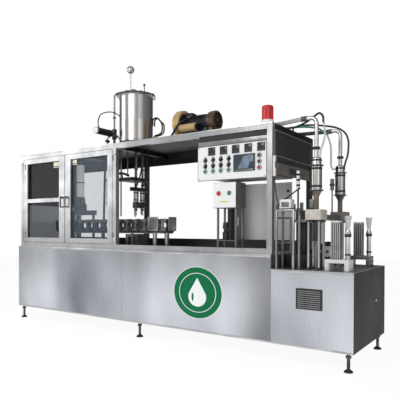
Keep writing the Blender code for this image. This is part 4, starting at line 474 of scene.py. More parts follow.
class Shape:
    """Collects solids with their materials and hands them over as one piece."""

    def __init__(self):
        self.mesh = bmesh.new()
        self.materials = []

    def keep(self, part, material):
        """Add a finished solid in one material."""
        if material not in self.materials:
            self.materials.append(material)
        index = self.materials.index(material)
        for face in part.faces:
            face.material_index = index
            face.smooth = True
        holder = bpy.data.meshes.new("part")
        part.to_mesh(holder)
        part.free()
        self.mesh.from_mesh(holder)
        bpy.data.meshes.remove(holder)
        return self

    def box(self, low, high, material, bevel=0.0, turn=None, about=None):
        """A block between two corners, with eased edges and turned about a point where asked."""
        part = bmesh.new()
        bmesh.ops.create_cube(part, size=1.0)
        for vert in part.verts:
            vert.co = Vector([low[i] + (vert.co[i] + 0.5) * (high[i] - low[i]) for i in range(3)])
        if bevel:
            bmesh.ops.bevel(
                part, geom=part.edges[:], offset=bevel, segments=BEVEL_SEGMENTS, affect="EDGES",
                profile=BEVEL_PROFILE
            )
        if turn:
            pivot = Vector(about)
            place = Matrix.Translation(pivot) @ Euler(turn).to_matrix().to_4x4() @ Matrix.Translation(-pivot)
            bmesh.ops.transform(part, matrix=place, verts=part.verts)
        return self.keep(part, material)

    def turned(self, outline, centre, material, axis="Z", sides=48, closed=False):
        """Lathe work: (radius, height) points along an axis through the centre."""
        part = bmesh.new()
        rings = []
        points = list(outline) + ([outline[0]] if closed else [])
        for radius, height in points:
            if radius < TINY:
                rings.append([part.verts.new((0, 0, height))])
                continue
            angles = [math.tau * k / sides for k in range(sides)]
            rings.append(
                [part.verts.new((radius * math.cos(a), radius * math.sin(a), height)) for a in angles]
            )
        for first, second in zip(rings, rings[1:]):
            for k in range(sides):
                after = (k + 1) % sides
                corners = [first[k % len(first)], first[after % len(first)]]
                corners += [second[after % len(second)], second[k % len(second)]]
                unique = list(dict.fromkeys(corners))
                if len(unique) > 2:
                    part.faces.new(unique)
        bmesh.ops.remove_doubles(part, verts=part.verts, dist=TINY)
        bmesh.ops.recalc_face_normals(part, faces=part.faces)
        turns = {
            "Z": Matrix.Identity(4),
            "X": Matrix.Rotation(math.pi / 2, 4, "Y"),
            "-Y": Matrix.Rotation(math.pi / 2, 4, "X"),
        }
        bmesh.ops.transform(part, matrix=Matrix.Translation(centre) @ turns[axis], verts=part.verts)
        return self.keep(part, material)

    def ring(self, inner, outer, low, high, centre, material, axis="Z", sides=40):
        """A band round an axis, with its outer edges eased."""
        ease = min(outer - inner, high - low) * 0.2
        outline = (
            (inner, low), (outer - ease, low), (outer, low + ease), (outer, high - ease),
            (outer - ease, high), (inner, high)
        )
        return self.turned(outline, centre, material, axis, sides, closed=True)

    def drum(self, radius, low, high, centre, material, axis="Z", sides=32):
        """A round solid with eased rims."""
        ease = min(radius, high - low) * 0.12
        outline = (
            (0, low), (radius - ease, low), (radius, low + ease), (radius, high - ease),
            (radius - ease, high), (0, high)
        )
        return self.turned(outline, centre, material, axis, sides)

    def tube(self, route, radius, material, sides=12, smooth=True):
        """A pipe or cable through its route."""
        points = curve_through(route) if smooth else [Vector(point) for point in route]
        part = bmesh.new()
        rings = []
        side = None
        for i, point in enumerate(points):
            ahead = (points[min(i + 1, len(points) - 1)] - points[max(i - 1, 0)]).normalized()
            if side is None:
                side = ahead.orthogonal().normalized()
            side = (side - ahead * side.dot(ahead)).normalized()
            across = ahead.cross(side)
            angles = [math.tau * k / sides for k in range(sides)]
            around = [point + radius * (side * math.cos(a) + across * math.sin(a)) for a in angles]
            rings.append([part.verts.new(place) for place in around])
        for first, second in zip(rings, rings[1:]):
            for k in range(sides):
                after = (k + 1) % sides
                part.faces.new((first[k], first[after], second[after], second[k]))
        part.faces.new(rings[0][::-1])
        part.faces.new(rings[-1])
        bmesh.ops.recalc_face_normals(part, faces=part.faces)
        return self.keep(part, material)

    def prism(self, outline, low, high, material, plane="XZ", bevel=0.0):
        """A flat outline pushed from low to high across its plane."""
        place = {
            "XZ": lambda a, b, c: (a, c, b),
            "XY": lambda a, b, c: (a, b, c),
        }[plane]
        part = bmesh.new()
        face = part.faces.new([part.verts.new(place(a, b, low)) for a, b in outline])
        pushed = bmesh.ops.extrude_face_region(part, geom=[face])
        moved = [item for item in pushed["geom"] if isinstance(item, bmesh.types.BMVert)]
        bmesh.ops.translate(part, vec=Vector(place(0, 0, high - low)), verts=moved)
        bmesh.ops.recalc_face_normals(part, faces=part.faces)
        if bevel:
            bmesh.ops.bevel(
                part, geom=part.edges[:], offset=bevel, segments=BEVEL_SEGMENTS, affect="EDGES",
                profile=BEVEL_PROFILE
            )
        return self.keep(part, material)

    def done(self, name, body, slot, stands_for=()):
        """Finish the piece, let it ride its body, and say which solids it stands for."""
        mesh = bpy.data.meshes.new(name)
        self.mesh.to_mesh(mesh)
        self.mesh.free()
        for material in self.materials:
            mesh.materials.append(material)
        mesh.set_sharp_from_angle(angle=math.radians(SHARP_ANGLE))
        thing = bpy.data.objects.new(name, mesh)
        scene.collection.objects.link(thing)
        return hand_over(thing, body, stands_for)


def hand_over(thing, body, stands_for=()):
    """Let a piece ride its body and say which solids it stands for."""
    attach(thing, body)
    if stands_for:
        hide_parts(*stands_for)
    return thing


def curve_through(route):
    """Smooth points through a route whose first and last stretches are straight."""
    points = [Vector(point) for point in route]
    last = len(points) - 1
    smooth = []
    for i in range(last):
        before, start, end, after = points[max(i - 1, 0)], points[i], points[i + 1], points[min(i + 2, last)]
        count = 1 if i in (0, last - 1) else CURVE_STEPS
        for k in range(count):
            t = k / count
            slope = (end - before) * t
            bend = (2 * before - 5 * start + 4 * end - after) * t * t
            twist = (3 * start - before - 3 * end + after) * t * t * t
            smooth.append(0.5 * (2 * start + slope + bend + twist))
    smooth.append(points[-1])
    return smooth


def round_bend(corner, before, after, radius, steps=8):
    """Quarter turn of a pipe, from its way in to its way out of the corner."""
    corner, before, after = Vector(corner), Vector(before), Vector(after)
    centre = corner - before * radius + after * radius
    angles = [math.pi / 2 * i / steps for i in range(steps + 1)]
    return [centre - after * radius * math.cos(a) + before * radius * math.sin(a) for a in angles]


def turns_round(count, start=0.0):
    """Evenly spaced angles of one full turn."""
    return [start + math.tau * k / count for k in range(count)]


# Repeated fittings by geometry nodes

def repeat_tree():
    """Sets one unit on every point of a mesh, turned by the point's own angles."""
    tree = bpy.data.node_groups.new("repeated_unit", "GeometryNodeTree")
    tree.interface.new_socket(name="Places", in_out="INPUT", socket_type="NodeSocketGeometry")
    tree.interface.new_socket(name="Unit", in_out="INPUT", socket_type="NodeSocketObject")
    tree.interface.new_socket(name="Finish", in_out="INPUT", socket_type="NodeSocketMaterial")
    tree.interface.new_socket(name="Units", in_out="OUTPUT", socket_type="NodeSocketGeometry")
    given, result = tree.nodes.new("NodeGroupInput"), tree.nodes.new("NodeGroupOutput")
    unit = tree.nodes.new("GeometryNodeObjectInfo")
    turn = tree.nodes.new("GeometryNodeInputNamedAttribute")
    turn.data_type = "FLOAT_VECTOR"
    turn.inputs["Name"].default_value = "turn"
    spread = tree.nodes.new("GeometryNodeInstanceOnPoints")
    real = tree.nodes.new("GeometryNodeRealizeInstances")
    painted = tree.nodes.new("GeometryNodeSetMaterial")
    link = tree.links.new
    link(given.outputs["Places"], spread.inputs["Points"])
    link(given.outputs["Unit"], unit.inputs["Object"])
    link(unit.outputs["Geometry"], spread.inputs["Instance"])
    link(turn.outputs["Attribute"], spread.inputs["Rotation"])
    link(spread.outputs["Instances"], real.inputs["Geometry"])
    link(real.outputs["Geometry"], painted.inputs["Geometry"])
    link(given.outputs["Finish"], painted.inputs["Material"])
    link(painted.outputs["Geometry"], result.inputs["Units"])
    return tree


REPEAT = repeat_tree()


def socket_id(tree, label):
    """What a modifier calls this input of the tree."""
    return next(
        item.identifier
        for item in tree.interface.items_tree
        if item.name == label and item.in_out == "INPUT"
    )


def made_plain(holder, name):
    """The evaluated geometry as a mesh of its own, with the maker removed."""
    bpy.context.view_layer.update()
    ready = holder.evaluated_get(bpy.context.evaluated_depsgraph_get())
    mesh = bpy.data.meshes.new_from_object(ready)
    mesh.name = name
    bpy.data.objects.remove(holder)
    thing = bpy.data.objects.new(name, mesh)
    scene.collection.objects.link(thing)
    return thing


def repeated(name, shape, places, body, stands_for=()):
    """One shape at many places, each (position, euler angles), as one plain piece."""
    unit_mesh = bpy.data.meshes.new(name + "_unit")
    shape.mesh.to_mesh(unit_mesh)
    shape.mesh.free()
    unit_mesh.set_sharp_from_angle(angle=math.radians(SHARP_ANGLE))
    unit = bpy.data.objects.new(name + "_unit", unit_mesh)
    scene.collection.objects.link(unit)
    points = bpy.data.meshes.new(name + "_places")
    points.from_pydata([place for place, _ in places], [], [])
    turns = points.attributes.new("turn", "FLOAT_VECTOR", "POINT")
    for i, (_, turn) in enumerate(places):
        turns.data[i].vector = turn
    holder = bpy.data.objects.new(name + "_holder", points)
    scene.collection.objects.link(holder)
    modifier = holder.modifiers.new("repeat", "NODES")
    modifier.node_group = REPEAT
    modifier[socket_id(REPEAT, "Unit")] = unit
    modifier[socket_id(REPEAT, "Finish")] = shape.materials[0]
    thing = made_plain(holder, name)
    bpy.data.objects.remove(unit)
    return hand_over(thing, body, stands_for)


def hose_tree():
    """A ridged hose along a curve: every second ring of the tube is narrower."""
    tree = bpy.data.node_groups.new("ridged_hose", "GeometryNodeTree")
    tree.interface.new_socket(name="Route", in_out="INPUT", socket_type="NodeSocketGeometry")
    for label, value in (("Radius", 0.019), ("Ring Step", 0.005), ("Ridge Depth", 0.0018)):
        tree.interface.new_socket(
            name=label, in_out="INPUT", socket_type="NodeSocketFloat"
        ).default_value = value
    tree.interface.new_socket(name="Finish", in_out="INPUT", socket_type="NodeSocketMaterial")
    tree.interface.new_socket(name="Hose", in_out="OUTPUT", socket_type="NodeSocketGeometry")
    given, result = tree.nodes.new("NodeGroupInput"), tree.nodes.new("NodeGroupOutput")
    spaced = tree.nodes.new("GeometryNodeResampleCurve")
    spaced.mode = "LENGTH"
    index = tree.nodes.new("GeometryNodeInputIndex")
    every = tree.nodes.new("ShaderNodeMath")
    every.operation = "MODULO"
    every.inputs[1].default_value = 2.0
    depth = tree.nodes.new("ShaderNodeMath")
    depth.operation = "MULTIPLY"
    width = tree.nodes.new("ShaderNodeMath")
    width.operation = "SUBTRACT"
    ring = tree.nodes.new("GeometryNodeCurvePrimitiveCircle")
    ring.inputs["Resolution"].default_value = 20
    ring.inputs["Radius"].default_value = 1.0
    skin = tree.nodes.new("GeometryNodeCurveToMesh")
    skin.inputs["Fill Caps"].default_value = True
    real = tree.nodes.new("GeometryNodeRealizeInstances")
    painted = tree.nodes.new("GeometryNodeSetMaterial")
    link = tree.links.new
    link(given.outputs["Route"], spaced.inputs["Curve"])
    link(given.outputs["Ring Step"], spaced.inputs["Length"])
    link(index.outputs[0], every.inputs[0])
    link(every.outputs[0], depth.inputs[0])
    link(given.outputs["Ridge Depth"], depth.inputs[1])
    link(given.outputs["Radius"], width.inputs[0])
    link(depth.outputs[0], width.inputs[1])
    link(spaced.outputs["Curve"], skin.inputs["Curve"])
    link(ring.outputs["Curve"], skin.inputs["Profile Curve"])
    link(width.outputs[0], skin.inputs["Scale"])
    link(skin.outputs["Mesh"], real.inputs["Geometry"])
    link(real.outputs["Geometry"], painted.inputs["Geometry"])
    link(given.outputs["Finish"], painted.inputs["Material"])
    link(painted.outputs["Geometry"], result.inputs["Hose"])
    return tree


HOSE = hose_tree()


def ridged_hose(name, route, radius, material, stands_for=()):
    """A hose with fine ridges along a smooth route."""
    curve = bpy.data.curves.new(name + "_route", "CURVE")
    curve.dimensions = "3D"
    points = curve_through(route)
    spline = curve.splines.new("POLY")
    spline.points.add(len(points) - 1)
    for point, place in zip(spline.points, points):
        point.co = (*place, 1)
    holder = bpy.data.objects.new(name + "_holder", curve)
    scene.collection.objects.link(holder)
    modifier = holder.modifiers.new("hose", "NODES")
    modifier.node_group = HOSE
    modifier[socket_id(HOSE, "Radius")] = radius
    modifier[socket_id(HOSE, "Finish")] = material
    thing = made_plain(holder, name)
    return hand_over(thing, MACHINE, stands_for)


# Camera, light and floor

CAMERA_SENSOR = 36.0
CAMERA_LENS = 42.70
CAMERA_SHIFT = (0.0020, 0.0842)
CAMERA_PLACE = (3.1711, -4.1617, 1.113)
CAMERA_DIP = 0.4909
CAMERA_TURN = 34.3448
CAMERA_ROLL = 0.1774
LAMP_AIM = (0, 0, 1.0)
FLOOR_REACH = 14.0
FLOOR_WHITE = 0.90
OVERHEAD = 0.45
WORLD_BANDS = (
    (0.00, 0.14), (0.04, 0.30), (0.10, 0.52), (0.18, 0.36), (0.26, 0.62), (0.34, 0.80), (0.38, 0.38),
    (0.42, 0.66), (0.46, 0.36), (0.55, 0.24), (0.63, 0.18), (0.72, 0.07), (0.85, 0.05), (1.00, 0.14),
)
LAMPS = (
    ("key_light", (0.2, -5.8, 4.2), 3.4, 135),
    ("fill_light", (6.0, -2.5, 3.2), 3.2, 30),
    ("left_light", (-5.5, -3.5, 3.0), 3.6, 75),
)


def studio_world():
    """Soft surroundings: a bright upper part, and upright dark and light bands round the horizon."""
    world = bpy.data.worlds.new("studio")
    world.use_nodes = True
    scene.world = world
    tree = world.node_tree
    tree.nodes.clear()
    link = tree.links.new
    place = tree.nodes.new("ShaderNodeTexCoord")
    parts = tree.nodes.new("ShaderNodeSeparateXYZ")
    link(place.outputs["Generated"], parts.inputs[0])
    around = tree.nodes.new("ShaderNodeMath")
    around.operation = "ARCTAN2"
    link(parts.outputs["Y"], around.inputs[0])
    link(parts.outputs["X"], around.inputs[1])
    share = tree.nodes.new("ShaderNodeMapRange")
    share.inputs["From Min"].default_value = -math.pi
    share.inputs["From Max"].default_value = math.pi
    link(around.outputs[0], share.inputs["Value"])
    bands = tree.nodes.new("ShaderNodeValToRGB")
    link(share.outputs["Result"], bands.inputs["Fac"])
    ramp = bands.color_ramp
    ramp.interpolation = "EASE"
    for spot, _ in WORLD_BANDS[1:-1]:
        ramp.elements.new(spot)
    for element, (spot, level) in zip(ramp.elements, WORLD_BANDS):
        element.position = spot
        element.color = (level * 0.97, level * 0.985, level, 1)
    rise = tree.nodes.new("ShaderNodeMapRange")
    rise.interpolation_type = "SMOOTHSTEP"
    rise.inputs["From Min"].default_value = 0.25
    rise.inputs["From Max"].default_value = 0.80
    link(parts.outputs["Z"], rise.inputs["Value"])
    mixed = tree.nodes.new("ShaderNodeMix")
    mixed.data_type = "RGBA"
    link(rise.outputs["Result"], mixed.inputs["Factor"])
    link(bands.outputs["Color"], mixed.inputs[6])
    mixed.inputs[7].default_value = (OVERHEAD, OVERHEAD, OVERHEAD, 1)
    lighting = tree.nodes.new("ShaderNodeBackground")
    link(mixed.outputs[2], lighting.inputs["Color"])
    seen = tree.nodes.new("ShaderNodeBackground")
    seen.inputs["Color"].default_value = (1, 1, 1, 1)
    mix = tree.nodes.new("ShaderNodeMixShader")
    rays = tree.nodes.new("ShaderNodeLightPath")
    output = tree.nodes.new("ShaderNodeOutputWorld")
    link(rays.outputs["Is Camera Ray"], mix.inputs[0])
    link(lighting.outputs[0], mix.inputs[1])
    link(seen.outputs[0], mix.inputs[2])
    link(mix.outputs[0], output.inputs["Surface"])


def set_camera():
    """The eye, as fitted to the straight edges of the machine."""
    camera = bpy.data.cameras.new("camera")
    camera.sensor_width = CAMERA_SENSOR
    camera.lens = CAMERA_LENS
    camera.shift_x, camera.shift_y = CAMERA_SHIFT
    eye = bpy.data.objects.new("camera", camera)
    eye.location = CAMERA_PLACE
    turn = Euler((math.radians(90 - CAMERA_DIP), 0, math.radians(CAMERA_TURN))).to_matrix()
    eye.rotation_euler = (turn @ Matrix.Rotation(math.radians(CAMERA_ROLL), 3, "Z")).to_euler()
    scene.collection.objects.link(eye)
    scene.camera = eye


def set_lamps():
    """Large soft lamps, all aimed at the middle of the machine."""
    for name, place, size, power in LAMPS:
        lamp = bpy.data.lights.new(name, "AREA")
        lamp.size = size
        lamp.energy = power
        holder = bpy.data.objects.new(name, lamp)
        holder.location = place
        holder.rotation_euler = (Vector(LAMP_AIM) - Vector(place)).to_track_quat("-Z", "Y").to_euler()
        scene.collection.objects.link(holder)


def whiten_floor():
    """The floor's own finish, mixed with plain white where the camera sees it."""
    tree = pale_floor.node_tree
    bright = tree.nodes.new("ShaderNodeEmission")
    bright.inputs["Color"].default_value = (1, 1, 1, 1)
    rays = tree.nodes.new("ShaderNodeLightPath")
    share = tree.nodes.new("ShaderNodeMath")
    share.operation = "MULTIPLY"
    share.inputs[1].default_value = FLOOR_WHITE
    tree.links.new(rays.outputs["Is Camera Ray"], share.inputs[0])
    mix = tree.nodes.new("ShaderNodeMixShader")
    tree.links.new(share.outputs[0], mix.inputs[0])
    tree.links.new(tree.nodes["Principled BSDF"].outputs[0], mix.inputs[1])
    tree.links.new(bright.outputs[0], mix.inputs[2])
    tree.links.new(mix.outputs[0], tree.nodes["Material Output"].inputs["Surface"])


def set_floor():
    """Wide pale floor, which belongs to the stage."""
    whiten_floor()
    reach = FLOOR_REACH
    floor_mesh = bpy.data.meshes.new("floor")
    corners = [(-reach, -reach, 0), (reach, -reach, 0), (reach, reach, 0), (-reach, reach, 0)]
    floor_mesh.from_pydata(corners, [], [(0, 1, 2, 3)])
    floor = bpy.data.objects.new("floor", floor_mesh)
    floor_mesh.materials.append(pale_floor)
    scene.collection.objects.link(floor)


# Base

def dress_base():
    """Feet with their pads, and the tube frame."""
    pads = Shape()
    for x in (-2.050, -0.110, 2.050):
        for y in (-0.447, 0.447):
            pads.turned(
                ((0, 0.0), (0.036, 0.0), (0.036, 0.006), (0.030, 0.0130), (0.016, 0.0240), (0, 0.0242)),
                (x, y, 0.0), black_rubber, sides=32
            )
            pads.drum(0.0135, 0.020, 0.152, (x, y, 0), dark_steel, sides=20)
            pads.ring(0.0130, 0.0235, 0.112, 0.130, (x, y, 0), dark_steel, sides=6)
    inset, tube = 0.0023, 0.040
    top, low_top = 0.8967, 0.7787
    uprights = (
        (LEFT + inset, top), (SEAM_X - tube / 2, top), (STEP_X - inset - tube, top),
        (RIGHT - inset - tube, low_top)
    )
    for side in (-1, 1):
        near, far = sorted((side * (-FRONT - inset), side * (-FRONT - inset - tube)))
        pads.box((LEFT + inset, near, 0.150), (RIGHT - inset, far, 0.150 + tube), steel_frame, 0.001)
        for x, high in uprights:
            pads.box((x, near, 0.150), (x + tube, far, high), steel_frame, 0.001)
    for x, _ in uprights:
        pads.box((x, FRONT + inset, 0.150), (x + tube, -FRONT - inset, 0.150 + tube), steel_frame, 0.001)
    pads.done("base_tubes", MACHINE, "brushed_steel", ("base_frame",))


def dress_round_mark():
    """Green disc with a white ring and a plain white drop, on the middle sheet."""
    x, z, wide = 0.643, 0.520, 1.13
    mark = Shape()
    for radius, proud, material in (
        (0.245, 0.0006, white_print), (0.240, 0.0009, green_print),
        (0.186, 0.0012, white_print), (0.180, 0.0015, green_print),
    ):
        oval = [(x + wide * radius * math.cos(a), z + radius * math.sin(a)) for a in turns_round(96)]
        mark.prism(oval, FRONT - proud, FRONT - proud + 0.0005, material)
    drop = [(x, z + 0.140)]
    for i in range(33):
        angle = math.radians(30 - 240 * i / 32)
        drop.append((x + wide * 0.090 * math.cos(angle), z - 0.040 + 0.090 * math.sin(angle)))
    mark.prism(drop, FRONT - 0.0018, FRONT - 0.0013, white_print)
    shine = [(x - 0.052 + 0.012 * math.cos(a), z - 0.042 + 0.040 * math.sin(a)) for a in turns_round(24)]
    mark.prism(shine, FRONT - 0.0021, FRONT - 0.0016, green_print)
    mark.done("round_mark", MACHINE, "white_plate")


def dress_vent():
    """Dark rim and back with thin bright slats, on the right sheet."""
    vent = Shape()
    x0, x1, z0, z1 = 1.641, 1.843, 0.476, 0.626
    vent.box((x0, FRONT - 0.0058, z0), (x1, FRONT - 0.0052, z1), black_trim_and_shade)
    pitch = (z1 - z0) / 9
    for k in range(9):
        low = z0 + pitch * (k + 0.25)
        vent.box(
            (x0 + 0.006, FRONT - 0.0090, low), (x1 - 0.006, FRONT - 0.0056, low + 0.0036), steel_level,
            0.0006
        )
    for x in (x0 + 0.062, x1 - 0.062):
        vent.box((x - 0.002, FRONT - 0.0094, z0), (x + 0.002, FRONT - 0.0057, z1), dark_steel)
    edge = 0.010
    for low, high in (
        ((x0 - edge, z0 - edge), (x1 + edge, z0)), ((x0 - edge, z1), (x1 + edge, z1 + edge)),
        ((x0 - edge, z0), (x0, z1)), ((x1, z0), (x1 + edge, z1))
    ):
        vent.box((low[0], FRONT - 0.0075, low[1]), (high[0], FRONT - 0.0001, high[1]), black_trim_and_shade, 0.0008)
    vent.done("vent_cover", MACHINE, "brushed_steel")


def dress_base_trim():
    """Gland in the right end, lips of the decks and screws of the front sheets."""
    gland = Shape()
    gland.turned(
        (
            (0, RIGHT + 0.0001), (0.016, RIGHT + 0.0001), (0.016, RIGHT + 0.006), (0.010, RIGHT + 0.010),
            (0, RIGHT + 0.012)
        ),
        (0, 0.16, 0.50), bright_rod, "X", 24
    )
    gland.done("end_gland", MACHINE, "brushed_steel")

    lip = Shape()
    lip.box(
        (LEFT - 0.001, FRONT - 0.004, BASE_TOP - 0.022),
        (STEP_X + 0.001, FRONT - 0.0001, BASE_TOP + 0.0005), steel_level, 0.001
    )
    lip.box(
        (STEP_X + 0.004, FRONT - 0.004, LOW_TOP - 0.022), (RIGHT + 0.001, FRONT - 0.0001, LOW_TOP + 0.0005),
        steel_level, 0.001
    )
    lip.box((LEFT, FRONT - 0.003, 0.150), (RIGHT, FRONT - 0.0001, 0.166), steel_level, 0.001)
    lip.done("deck_lip", MACHINE, "brushed_steel")

    screw = Shape().turned(
        ((0, 0.0), (0.0050, 0.0), (0.0046, 0.0018), (0.0030, 0.0026), (0, 0.0027)), (0, 0, 0), bright_rod,
        sides=10
    )
    places = []
    for x_low, x_high, top in ((LEFT, SEAM_X, 0.86), (SEAM_X, STEP_X, 0.86), (STEP_X, RIGHT, 0.745)):
        for x in (x_low + 0.022, (x_low + x_high) / 2, x_high - 0.022):
            for z in (0.185, top):
                places.append(((x, FRONT - 0.0001, z), FACING_FRONT))
    repeated("panel_screws", screw, places, MACHINE)


# Tank with its fittings

def dress_tank():
    """Vessel, lid with its pipe and vent rod, and the float rod with its ball."""
    x, y, floor, seat = TANK_X, TANK_Y, ROOF_FLOOR, LID_SEAT
    vessel = Shape()
    vessel.turned(
        (
            (0, floor), (0.177, floor), (0.1775, floor + 0.038), (0.187, floor + 0.041),
            (0.188, floor + 0.066), (0.188, 2.330), (0.1884, 2.333), (0.1884, 2.337), (0.188, 2.340),
            (0.188, 2.604), (0.190, 2.606), (0.190, TANK_RIM), (0.184, TANK_RIM), (0.184, floor + 0.065),
            (0.16, floor + 0.060), (0, floor + 0.060)
        ),
        (x, y, 0), tank_steel, sides=96
    )
    vessel.ring(0.1768, 0.1800, floor + 0.0005, floor + 0.037, (x, y, 0), black_trim_and_shade, sides=96)
    vessel.ring(0.1882, 0.1897, floor + 0.040, floor + 0.062, (x, y, 0), black_trim_and_shade, sides=96)
    vessel.done("tank_vessel", MACHINE, "polished_steel", ("tank",))

    lid = Shape()
    lid.turned(
        (
            (0, seat), (0.213, seat), (0.2165, seat + 0.003), (0.2165, seat + 0.017), (0.213, seat + 0.020),
            (0.188, seat + 0.0205), (0.150, seat + 0.026), (0.090, seat + 0.033), (0, seat + 0.036)
        ),
        (x, y, 0), polished, sides=96
    )
    lid.ring(0.2166, 0.2174, seat + 0.002, seat + 0.018, (x, y, 0), black_trim_and_shade, sides=96)
    crest = seat + 0.020 + 0.075
    route = [(x, y, seat + 0.010)] + round_bend((x, y, crest), (0, 0, 1), (-1, 0, 0), 0.045)
    route += round_bend((INLET_X, y, crest), (-1, 0, 0), (0, 0, -1), 0.045) + [(INLET_X, y, 2.2923)]
    lid.tube(route, 0.0106, dull_rod, 20, smooth=False)
    for pipe_x, z in ((x, seat + 0.034), (INLET_X, 2.42)):
        lid.ring(0.0106, 0.020, z, z + 0.013, (pipe_x, y, 0), dark_steel)
    lid.turned(
        (
            (0, seat + 0.020), (0.0055, seat + 0.020), (0.0055, 2.722), (0.0120, 2.728), (0.0135, 2.737),
            (0.0110, 2.746), (0, 2.750)
        ),
        (x + 0.120, y, 0), dark_steel, sides=24
    )
    lid.done("tank_cover", MACHINE, "polished_steel", ("tank_lid",))

    rod_x, rod_y = x - 0.043, y - 0.050
    ball = [
        (0.043 * math.sin(math.pi * i / 24), 2.921 - 0.043 * math.cos(math.pi * i / 24))
        for i in range(2, 24)
    ]
    gauge = Shape()
    low = floor + 0.060 + 0.180 + GAP
    gauge.turned(
        (
            (0, low), (0.050, low + 0.015), (0.050, low + 0.045), (0.0072, low + 0.060), (0.0072, 2.876),
            *ball, (0, 2.964)
        ),
        (rod_x, rod_y, 0), bright_rod, sides=48
    )
    gauge.done("float_gauge", "float_rod", "polished_steel", ("float_rod",))


def dress_inlet_valve():
    """Valve under the bent pipe, with its lying actuator and small lines."""
    vx, y, floor = INLET_X, TANK_Y, ROOF_FLOOR
    valve = Shape()
    valve.turned(
        (
            (0, floor), (0.042, floor), (0.042, floor + 0.009), (0.0147, floor + 0.010), (0.0147, 2.172),
            (0.028, 2.174), (0.028, 2.290), (0.020, 2.292), (0, 2.292)
        ),
        (vx, y, 0), dark_steel, sides=40
    )
    valve.turned(
        (
            (0, 0.100), (0.0168, 0.100), (0.0168, 0.170), (0.0415, 0.171), (0.0415, 0.184), (0.038, 0.185),
            (0.038, 0.260), (0.0368, 0.262), (0.0368, 0.268), (0.038, 0.270), (0.038, 0.391),
            (0.0405, 0.393)
        ),
        (vx, 0, 2.232), black_plastic, "-Y", 48
    )
    valve.turned(
        ((0.0405, 0.392), (0.0412, 0.394), (0.0412, 0.405), (0.030, 0.414), (0.019, 0.420), (0, 0.420)),
        (vx, 0, 2.232), white_plastic, "-Y", 48
    )
    arc = (
        (-0.781, -0.390, 2.270), (-0.781, -0.395, 2.330), (-0.785, -0.350, 2.413), (-0.729, -0.280, 2.447),
        (-0.698, -0.200, 2.442), (-0.675, -0.150, 2.400)
    )
    valve.tube(
        (
            (vx + 0.020, -0.360, 2.262), *arc, (-0.672, -0.140, 2.300), (-0.690, -0.130, 2.100),
            (-0.690, -0.130, 2.0365)
        ),
        0.0060, black_rubber
    )
    valve.tube(
        (
            (-0.881, -0.150, 2.036), (-0.881, -0.150, 2.130), (-0.878, -0.150, 2.184),
            (-0.813, -0.150, 2.206), (-0.740, -0.150, 2.196), (-0.700, -0.150, 2.170),
            (-0.692, -0.140, 2.150)
        ),
        0.0080, dull_rod
    )
    valve.drum(0.017, 0.128, 0.176, (-0.881, 0, 2.150), black_plastic, "-Y")
    valve.drum(0.014, 0.128, 0.170, (-0.735, 0, 2.190), black_plastic, "-Y")
    valve.done("inlet_actuator", MACHINE, "dark_steel", ("inlet_valve",))


def dress_tank_lines():
    """Two looped lines beside the tank."""
    lines = Shape()
    for k, dy in enumerate((0.0, 0.034)):
        lines.tube(
            (
                (-0.352, 0.040 + dy, 2.300), (-0.345, 0.034 + dy, 2.362), (-0.300, 0.030 + dy, 2.384),
                (-0.251, 0.028 + dy, 2.363 - 0.020 * k), (-0.205, 0.026 + dy, 2.300),
                (-0.192, 0.012 + dy, 2.220), (-0.206, -0.020 + dy, 2.178), (-0.242, -0.050 + dy, 2.160),
                (-0.262, -0.060 + dy, 2.110), (-0.262, -0.060 + dy, 2.0365)
            ),
            0.0085, black_rubber
        )
    lines.done("tank_lines", MACHINE, "black_plastic")


def dress_lid_clamps():
    """Clamps round the rim of the lid."""
    clamp = Shape().box((-0.007, -0.004, -0.016), (0.007, 0.006, 0.016), dark_steel, 0.0015)
    places = []
    for angle in turns_round(8, 0.2):
        rim = (TANK_X + 0.2175 * math.cos(angle), TANK_Y + 0.2175 * math.sin(angle), LID_SEAT + 0.010)
        places.append((rim, (0, 0, angle - math.pi / 2)))
    repeated("lid_clamps", clamp, places, MACHINE)


# Blower and beacon

